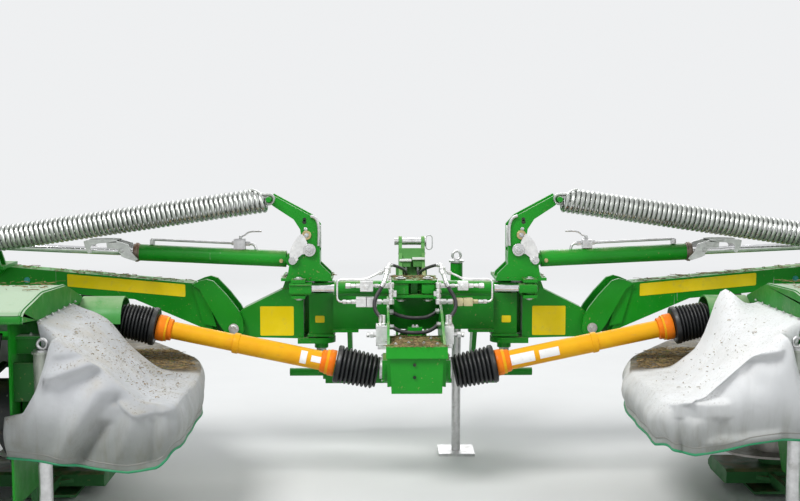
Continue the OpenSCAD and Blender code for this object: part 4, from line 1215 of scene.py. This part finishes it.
def valve_parts(side):
    """Zinc plated blocks, nuts and pipes of one side."""
    outward = Vector((side, 0, 0))
    parts = stack(at(side, 0, VALVE_Y, VALVE_UP), outward, [
        (96, 272, 6, 12), (107, 131, 11, 6), (150, 165, 9, 6), (222, 243, 10.5, 6), (246, 264, 8.5, 12),
        (264, 286, 11, 16)])
    parts += stack(at(side, 0, VALVE_Y, VALVE_LOW), outward, [
        (96, 300, 6, 12), (107, 131, 12, 6), (136, 158, 11.5, 6), (262, 282, 8, 12), (282, 298, 9.5, 6)])
    parts += stack(at(side, 98, VALVE_Y, 0), UP, [
        (728, 818, 8, 12), (728, 750, 13, 6), (756, 772, 11, 6), (776, 790, 12, 6), (796, 818, 13, 6)])
    parts.append(block(side, (176, VALVE_Y - 18, VALVE_UP - 18), (221, VALVE_Y + 18, VALVE_UP + 18), 4))
    parts += stack(at(side, 198, VALVE_Y - 18, VALVE_UP), BACK, [(-1, 4, 14, 6), (3, 9, 8, 16)])
    parts.append(block(side, (78, -290, 761), (93, -262, 781)))
    elbow, swivel = at(side, 118, -302, 872), at(side, 112, -306, 872)
    pipe = [(282, VALVE_LOW), (320, VALVE_LOW), (320, 831), (206, 831), (140, 862)]
    parts.append(swept(bent_route([at(side, x, VALVE_Y, z) for x, z in pipe] + [elbow], 20), 4.6))
    riser = [at(side, 118, -302, 866), at(side, 108, -302, 890), at(side, 104, -262, 890)]
    parts.append(swept(bent_route(riser, 10), 8))
    parts += stack(at(side, 148, -290, 857), elbow - at(side, 148, -290, 857), [(0, 16, 9.5, 6)])
    parts += stack(at(side, 112, -302, 0), UP, [(860, 884, 14, 6)])
    parts += stack(swivel, at(side, 128, -324, 821) - swivel, [
        (0, 18, 11, 6), (18, 50, 8.8, 16), (50, 58, 10.5, 16)])
    parts.append(block(side, (115, -412, 580), (156, -346, 655), 4))
    parts.append(block(side, (118, -414, 566), (150, -352, 582), 3))
    parts += stack(at(side, 128, -400, 0), UP, [(654, 700, 7, 12), (654, 668, 11, 6)])
    parts += stack(at(side, 140, -368, 0), UP, [(654, 664, 12, 6), (664, 680, 9.8, 16)])
    parts += stack(at(side, 0, -390, 618), outward, [
        (155, 168, 9, 12), (168, 184, 13, 6), (186, 198, 11, 16)])
    parts += stack(at(side, 136, -411, 600), BACK, [(0, 3, 9, 6)])
    return parts


def yellow_parts(side):
    """The lower line's block and nut, which are yellow zinc on the real machine."""
    parts = [block(side, (x, VALVE_Y - 18, VALVE_LOW - 17), (x + 38, VALVE_Y + 18, VALVE_LOW + 16), 3)
             for x in (160, 201)]
    return parts + stack(at(side, 0, VALVE_Y, VALVE_LOW), Vector((side, 0, 0)), [
        (196, 203, 15, 12), (240, 262, 10, 6)])


valves = piece("valve_sets", valve_parts(-1) + valve_parts(1) + yellow_parts(-1), bright_zinc, "root")
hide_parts("hydraulic_valves")
piece("yellow_valve", yellow_parts(1), pale_yellow_zinc, "root")
print(valves.name, len(valves.data.polygons), "faces")

# %% [markdown]
# ## Hoses
#
# The hoses are clipped at both ends, so they keep their whole route. Their points are the ones the packed
# model uses; a soft curve through them and a round section give them their true look, with a pressed
# ferrule at each end.

# %% Hoses between the blocks and over the mast
HOSE_DOWN = [(128, -324, 821), (142, -330, 795), (158, -338, 768), (166, -346, 742), (163, -354, 716),
             (152, -362, 698), (142, -368, 688), (140, -368, 684), (140, -368, 678.3)]
HOSE_UP = [(28, 182, 833.7), (28, 182, 824), (28, 172, 802), (28, 145, 785), (28, 100, 778), (28, 50, 782),
           (29, 10, 800), (32, -30, 826), (36, -70, 842), (54, -140, 862), (82, -210, 880),
           (103.8, -264, 889.5)]
HOSE_WIDE = [(-104.8, -250, 690), (-94, -250, 690), (-66, -253, 677), (-20, -256, 667), (40, -257, 668),
             (74, -254, 680), (94, -250, 694), (104.8, -250, 694)]
HOSE_LOW = [(-104.8, -380, 648), (-94, -380, 648), (-62, -384, 632), (-15, -386, 625), (40, -386, 628),
            (72, -383, 641), (94, -380, 658), (104.8, -380, 658)]
HOSES = [(HOSE_DOWN, 8, (-1, 1)), (HOSE_UP, 6.5, (-1, 1)), (HOSE_WIDE, 8, (1,)), (HOSE_LOW, 8, (1,))]
hose_parts, ferrules = [], []
for knots, radius, sides in HOSES:
    for side in sides:
        placed = [at(side, *p) for p in knots]
        route = smooth_route(placed, 5)
        hose_parts.append(swept(route, radius, 14))
        for end, following in ((placed[0], placed[1]), (placed[-1], placed[-2])):
            ferrules += stack(end, following - end, [(0, 15, radius + 2.2, 16), (15, 18, radius + 3, 16)])
        print("hose", round(sum((b - a).length for a, b in zip(route, route[1:])), 3), "m")
hoses = piece("smooth_hoses", hose_parts, hose_black, "root", sharp=180)
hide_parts("hoses")
piece("hose_ferrules", ferrules, zinc_plate, "root")

# %% [markdown]
# ## Small fittings
#
# These give the towers, cylinders and mast their busy look: the eyes' square housings, washers, a web that
# closes the gap beside the swing column, hose clamps on the mast and rings round the gearbox outputs.

# %% Towers, latches and taps
# The lift cylinder's barrel: its inner pin (x, z), place forward of the swing pins, and angle
LIFT_Y = -120
BARREL = ((510, 899), LIFT_Y, 2.64)
TOWER_BAND = [(434, -184, 1086), (417, -184, 1080), (404, -184, 1060), (399, -184, 1020), (401, -184, 962)]
SECTOR = [(470, 1012), (488, 1000), (504, 978), (516, 955), (523, 925), (520, 902), (507, 889), (492, 892),
          (487, 912), (470, 926), (452, 930), (448, 975), (458, 998)]
LATCH_PLATE = [(1287, 975), (1246, 982), (1197, 968), (1181, 932), (1156, 905), (1170, 898), (1213, 912),
               (1227, 919), (1231, 949), (1285, 952)]
LATCH_HOOK = [(1382, 982), (1370, 986), (1318, 988), (1276, 988), (1245, 986), (1245, 977), (1310, 974),
              (1345, 969), (1354, 957), (1351, 933), (1364, 931), (1377, 957)]
PIPE_UP = 57


def tower_parts(side):
    """Washers and nuts of the tower's pins, and the bent band behind them."""
    washer = [(0, 4, 21, 24), (4, 9, 12, 6)]
    return (stack(at(side, 439, -188, 944), BACK, [(0, 5, 27, 28), (4, 9, 17, 28), (9, 15, 9, 6)])
            + stack(at(side, 510, -188, 899), BACK, [(0, 6, 17, 24), (6, 9, 9, 20)])
            + stack(at(side, 451, -178, 1006), BACK, [(4, 12, 11, 6), (12, 18, 6, 12)])
            + stack(at(side, 483, -215, 825), UP, washer) + stack(at(side, 483, -215, 745), DOWN, washer)
            + [swept(smooth_route([at(side, *p) for p in TOWER_BAND], 5), 6.5, 10)])


def latch_parts(side):
    """The transport latch's two cheeks and hooks, the release pipe, and the ball tap with its lever."""
    def spot(along_barrel, up):
        return slanted(side, *BARREL, along_barrel, up)

    up, run = spot(0, 1) - spot(0, 0), course(side, *BARREL)
    parts = [plate([at(side, x, y, z) for x, z in outline], 8 * side)
             for y in (-176, -82) for outline in (LATCH_PLATE, LATCH_HOOK)]
    parts += stack(at(side, 1224, -176, 944), BACK, [(0, 3, 17, 24), (3, 10, 11, 6), (10, 14, 6, 12)])
    parts += stack(spot(0, PIPE_UP), run, [(250, 606, 5.5, 12), (187, 207, 10, 6), (249, 265, 10, 6)])
    parts.append(block(side, (717, LIFT_Y - 18, 945), (759, LIFT_Y + 18, 982), 3))
    parts += stack(spot(228, 70), up, [(0, 8, 11, 6), (8, 20, 7, 12)])
    parts.append(swept(bent_route([spot(190, PIPE_UP), spot(168, PIPE_UP), spot(160, 34)], 14), 6))
    parts += stack(spot(600, 36), up, [(0, 22, 12, 6)])
    lever = [spot(228, 86), spot(212, 92), spot(198, 104), spot(178, 110), spot(140, 112)]
    return parts + [swept(smooth_route(lever, 3), 3.6, 8)]

# %% [markdown]
# ### One table for the rest
#
# The other fittings are only a block or a few turned parts each. A table of name, body, finish, slot and
# parts says all that differs between them, and a single loop makes them for both wings.

# %% Fittings of each wing and of the headstock
GUSSET = [(866, 548), (806, 572), (800, 640), (842, 668), (905, 640)]
BAND = [(650, 36.5), (656, 37), (657, 40.5), (667, 41), (668, 37), (675, 36.5)]


def fittings(side):
    """Each fitting of one wing: its name, body, finish, slot and parts."""
    start, run = slanted(side, *BARREL, 0), course(side, *BARREL)
    sector = [plate([at(side, x, -189, z) for x, z in SECTOR], 6 * side),
              block(side, (396, -94, 948), (440, -86, 1040), 2)]
    sector += stack(at(side, 494, -194, 906), BACK, [(-1, 3, 9, 6)])
    holes = stack(at(side, 460, -178, 1061), BACK, [(-1, 0.6, 9, 20)])
    holes += stack(at(side, 459, -178, 1072), BACK, [(-1, 0.6, 8, 20)])
    plug = stack(slanted(side, *BARREL, 50, -6, -33), BACK, [(0, 5, 9, 20), (5, 9, 6, 6)])
    cap = stack(at(side, 1661, -50, 803), BACK, [(-1, 3, 13, 20), (3, 12, 8, 16)])
    return [
        ("rod_eye_block", "swing_rod", green_paint, "frame_green",
         [block(side, (436, -246, 768), (514, -186, 803), 7)]),
        ("cylinder_eye_block", "swing_cylinder", green_paint, "frame_green",
         [block(side, (30, -243, 766), (84, -188, 806), 5)]),
        ("carrier_web", "swing", green_paint, "frame_green",
         [block(side, (455, 62, 549), (502, 66, 752), 1)]),
        ("tower_washers", "swing", zinc_plate, "zinc", tower_parts(side)),
        ("lock_sector", "swing", bright_zinc, "zinc", sector),
        ("transport_latch", "lift_cylinder", zinc_plate, "zinc", latch_parts(side)),
        ("barrel_band", "lift_cylinder", rusty_steel, "zinc", [bored(start, run, BAND, 32.2)]),
        ("barrel_head", "lift_cylinder", green_paint, "frame_green", stack(start, run, [(30, 54, 35, 36)])),
        ("barrel_plug", "lift_cylinder", yellow_zinc, "zinc", plug),
        ("tower_ring", "swing", yellow_zinc, "zinc",
         stack(at(side, 451, -178, 1006), BACK, [(0, 5, 20, 24)])),
        # dark discs of painted shade stand for the tower's two holes
        ("tower_slot", "swing", painted_dark_shade, "frame_green", holes),
        ("arm_cap", "wing", teal_film, "frame_green", cap),
        # the gusset under the arm takes the darker green of painted shade
        ("arm_gusset", "wing", painted_shade_green, "frame_green",
         [plate([at(side, x, 30, z) for x, z in GUSSET], 6 * side)]),
        ("arm_bumper", "wing", hose_black, "hose_rubber",
         [block(side, (1345, -46, 722), (1430, 46, 738), 4)]),
    ]


STANDS_FOR = {"lock_sector": "lock_plate", "transport_latch": "lift_lock"}
for tag, side in SIDES.items():
    for name, body, finish, slot, parts in fittings(side):
        made = piece(f"{name}_{tag}", parts, finish, f"{body}_{tag}")
        if name in STANDS_FOR:
            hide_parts(f"{STANDS_FOR[name]}_{tag}")

root_parts = []
for side in SIDES.values():
    root_parts += stack(at(side, 0, DRIVE_Y, SHAFT_IN[1]), Vector((side, 0, 0)), [
        (128, 134, 56, 32), (134, 147, 43, 32)])
    for z, way in ((826, UP), (740, DOWN)):
        root_parts += stack(at(side, 57, -215, z), way, [(0, 4, 22, 24), (4, 10, 13, 6)])
guard_bolts = []
for z in (486, 535):
    guard_bolts += stack(at(1, -9, -606, z), BACK, [(0, 2, 7.5, 6)])
clamps = [block(1, (-56, 160, 859), (-2, 200, 868), 2), block(1, (2, 160, 866), (58, 200, 875), 2)]
# the guard's two bolts are flat hexagons in the same dark painted shade
piece("guard_bolts", guard_bolts, painted_dark_shade, "root")
piece("root_fittings", root_parts, zinc_plate, "root")
piece("hose_clamps", clamps, white_film, "root")
print("small fittings made")

# %% [markdown]
# ## Hay on the ledges
#
# After a day's mowing every flat face carries chopped stalks. Each stalk is a thin bent prism laid on a
# known face; a seeded generator scatters them, so that each build is the same. All stalks of a body form
# one mesh.

# %% Scatter the straw
def stalk(dice, centre, longest=62):
    """One bent stalk that lies round a point."""
    length, width = dice.uniform(longest * 0.2, longest) / 1000, dice.uniform(0.7, 1.6) / 1000
    heading = dice.uniform(0, 2 * math.pi)
    run = Vector((math.cos(heading), math.sin(heading), dice.uniform(-0.06, 0.10)))
    bend = Vector((-run.y, run.x, 0)) * dice.uniform(-0.25, 0.25)
    middle = centre + bend * length + Vector((0, 0, width))
    route = [centre - run * length / 2, middle, centre + run * length / 2]
    return swept(route, width * 1000, 3)


# Body, lowest and highest corner in plan (x, y), height at both ends in x, how many
LEDGES = {
    "root": [((-330, -70), (330, 70), 741, 741, 380), ((-98, -560), (98, -345), 605, 605, 420),
             ((-118, -604), (118, -570), 606, 606, 70), ((-94, -240), (94, -70), 823, 823, 110),
             ((-50, -48), (50, 190), 753, 753, 160), ((-395, 262), (395, 340), 376, 376, 120)],
    "swing": [((350, -170), (555, 50), 825, 825, 90), ((500, -58), (560, 58), 764, 764, 20)],
    "wing": [((960, -48), (2880, 48), 790, 966, 260), ((1345, -58), (4200, 58), 681, 681, 320),
             ((1340, -1000), (4220, -720), 879, 865, 420)],
}
# The inner edge of the cloth's shelf in front, as distance back and distance from the middle
SHELF_EDGE = [(-600, 850), (-345, 900), (66, 1156)]


def shelf_litter(dice, tag, side, stalks, crumbs, chips):
    """Hay matted on the cloth's shelf, and chips on its sloping top."""
    parts = []
    for k in range(stalks + crumbs):
        y = dice.uniform(-588, -150)
        x = dice.uniform(along(SHELF_EDGE, y) + 12, 1306)
        heap = 7 * max(0.0, uneven(x / 70, y / 70, 2))
        parts.append(stalk(dice, at(side, x, y, cloth_top(tag, x, y) + 7 + heap), 70 if k < stalks else 16))
    for _ in range(chips):
        x, y = dice.gauss(1060, 110), dice.uniform(-1150, -640)
        if 870 < x < 1310:
            parts.append(stalk(dice, at(side, x, y, cloth_top(tag, x, y) + 5), dice.choice((6, 9, 18))))
    return parts


dice = Random(7)
CHIPS = {"left": 240, "right": 90}
for tag, side in SIDES.items():
    for body, ledges in LEDGES.items():
        if body == "root" and tag == "left":
            continue
        parts = []
        for low, high, z_low, z_high, count in ledges:
            for _ in range(count):
                x, y = dice.uniform(low[0], high[0]), dice.uniform(low[1], high[1])
                z = z_low + (z_high - z_low) * (x - low[0]) / (high[0] - low[0])
                parts.append(stalk(dice, at(side, x, y, z + 0.6)))
        if body == "wing":
            parts += shelf_litter(dice, tag, side, 620, 800, CHIPS[tag])
        owner = body if body == "root" else f"{body}_{tag}"
        made = piece(f"straw_{owner}", parts, straw, owner, sharp=180)
        print(made.name, len(parts), "stalks")
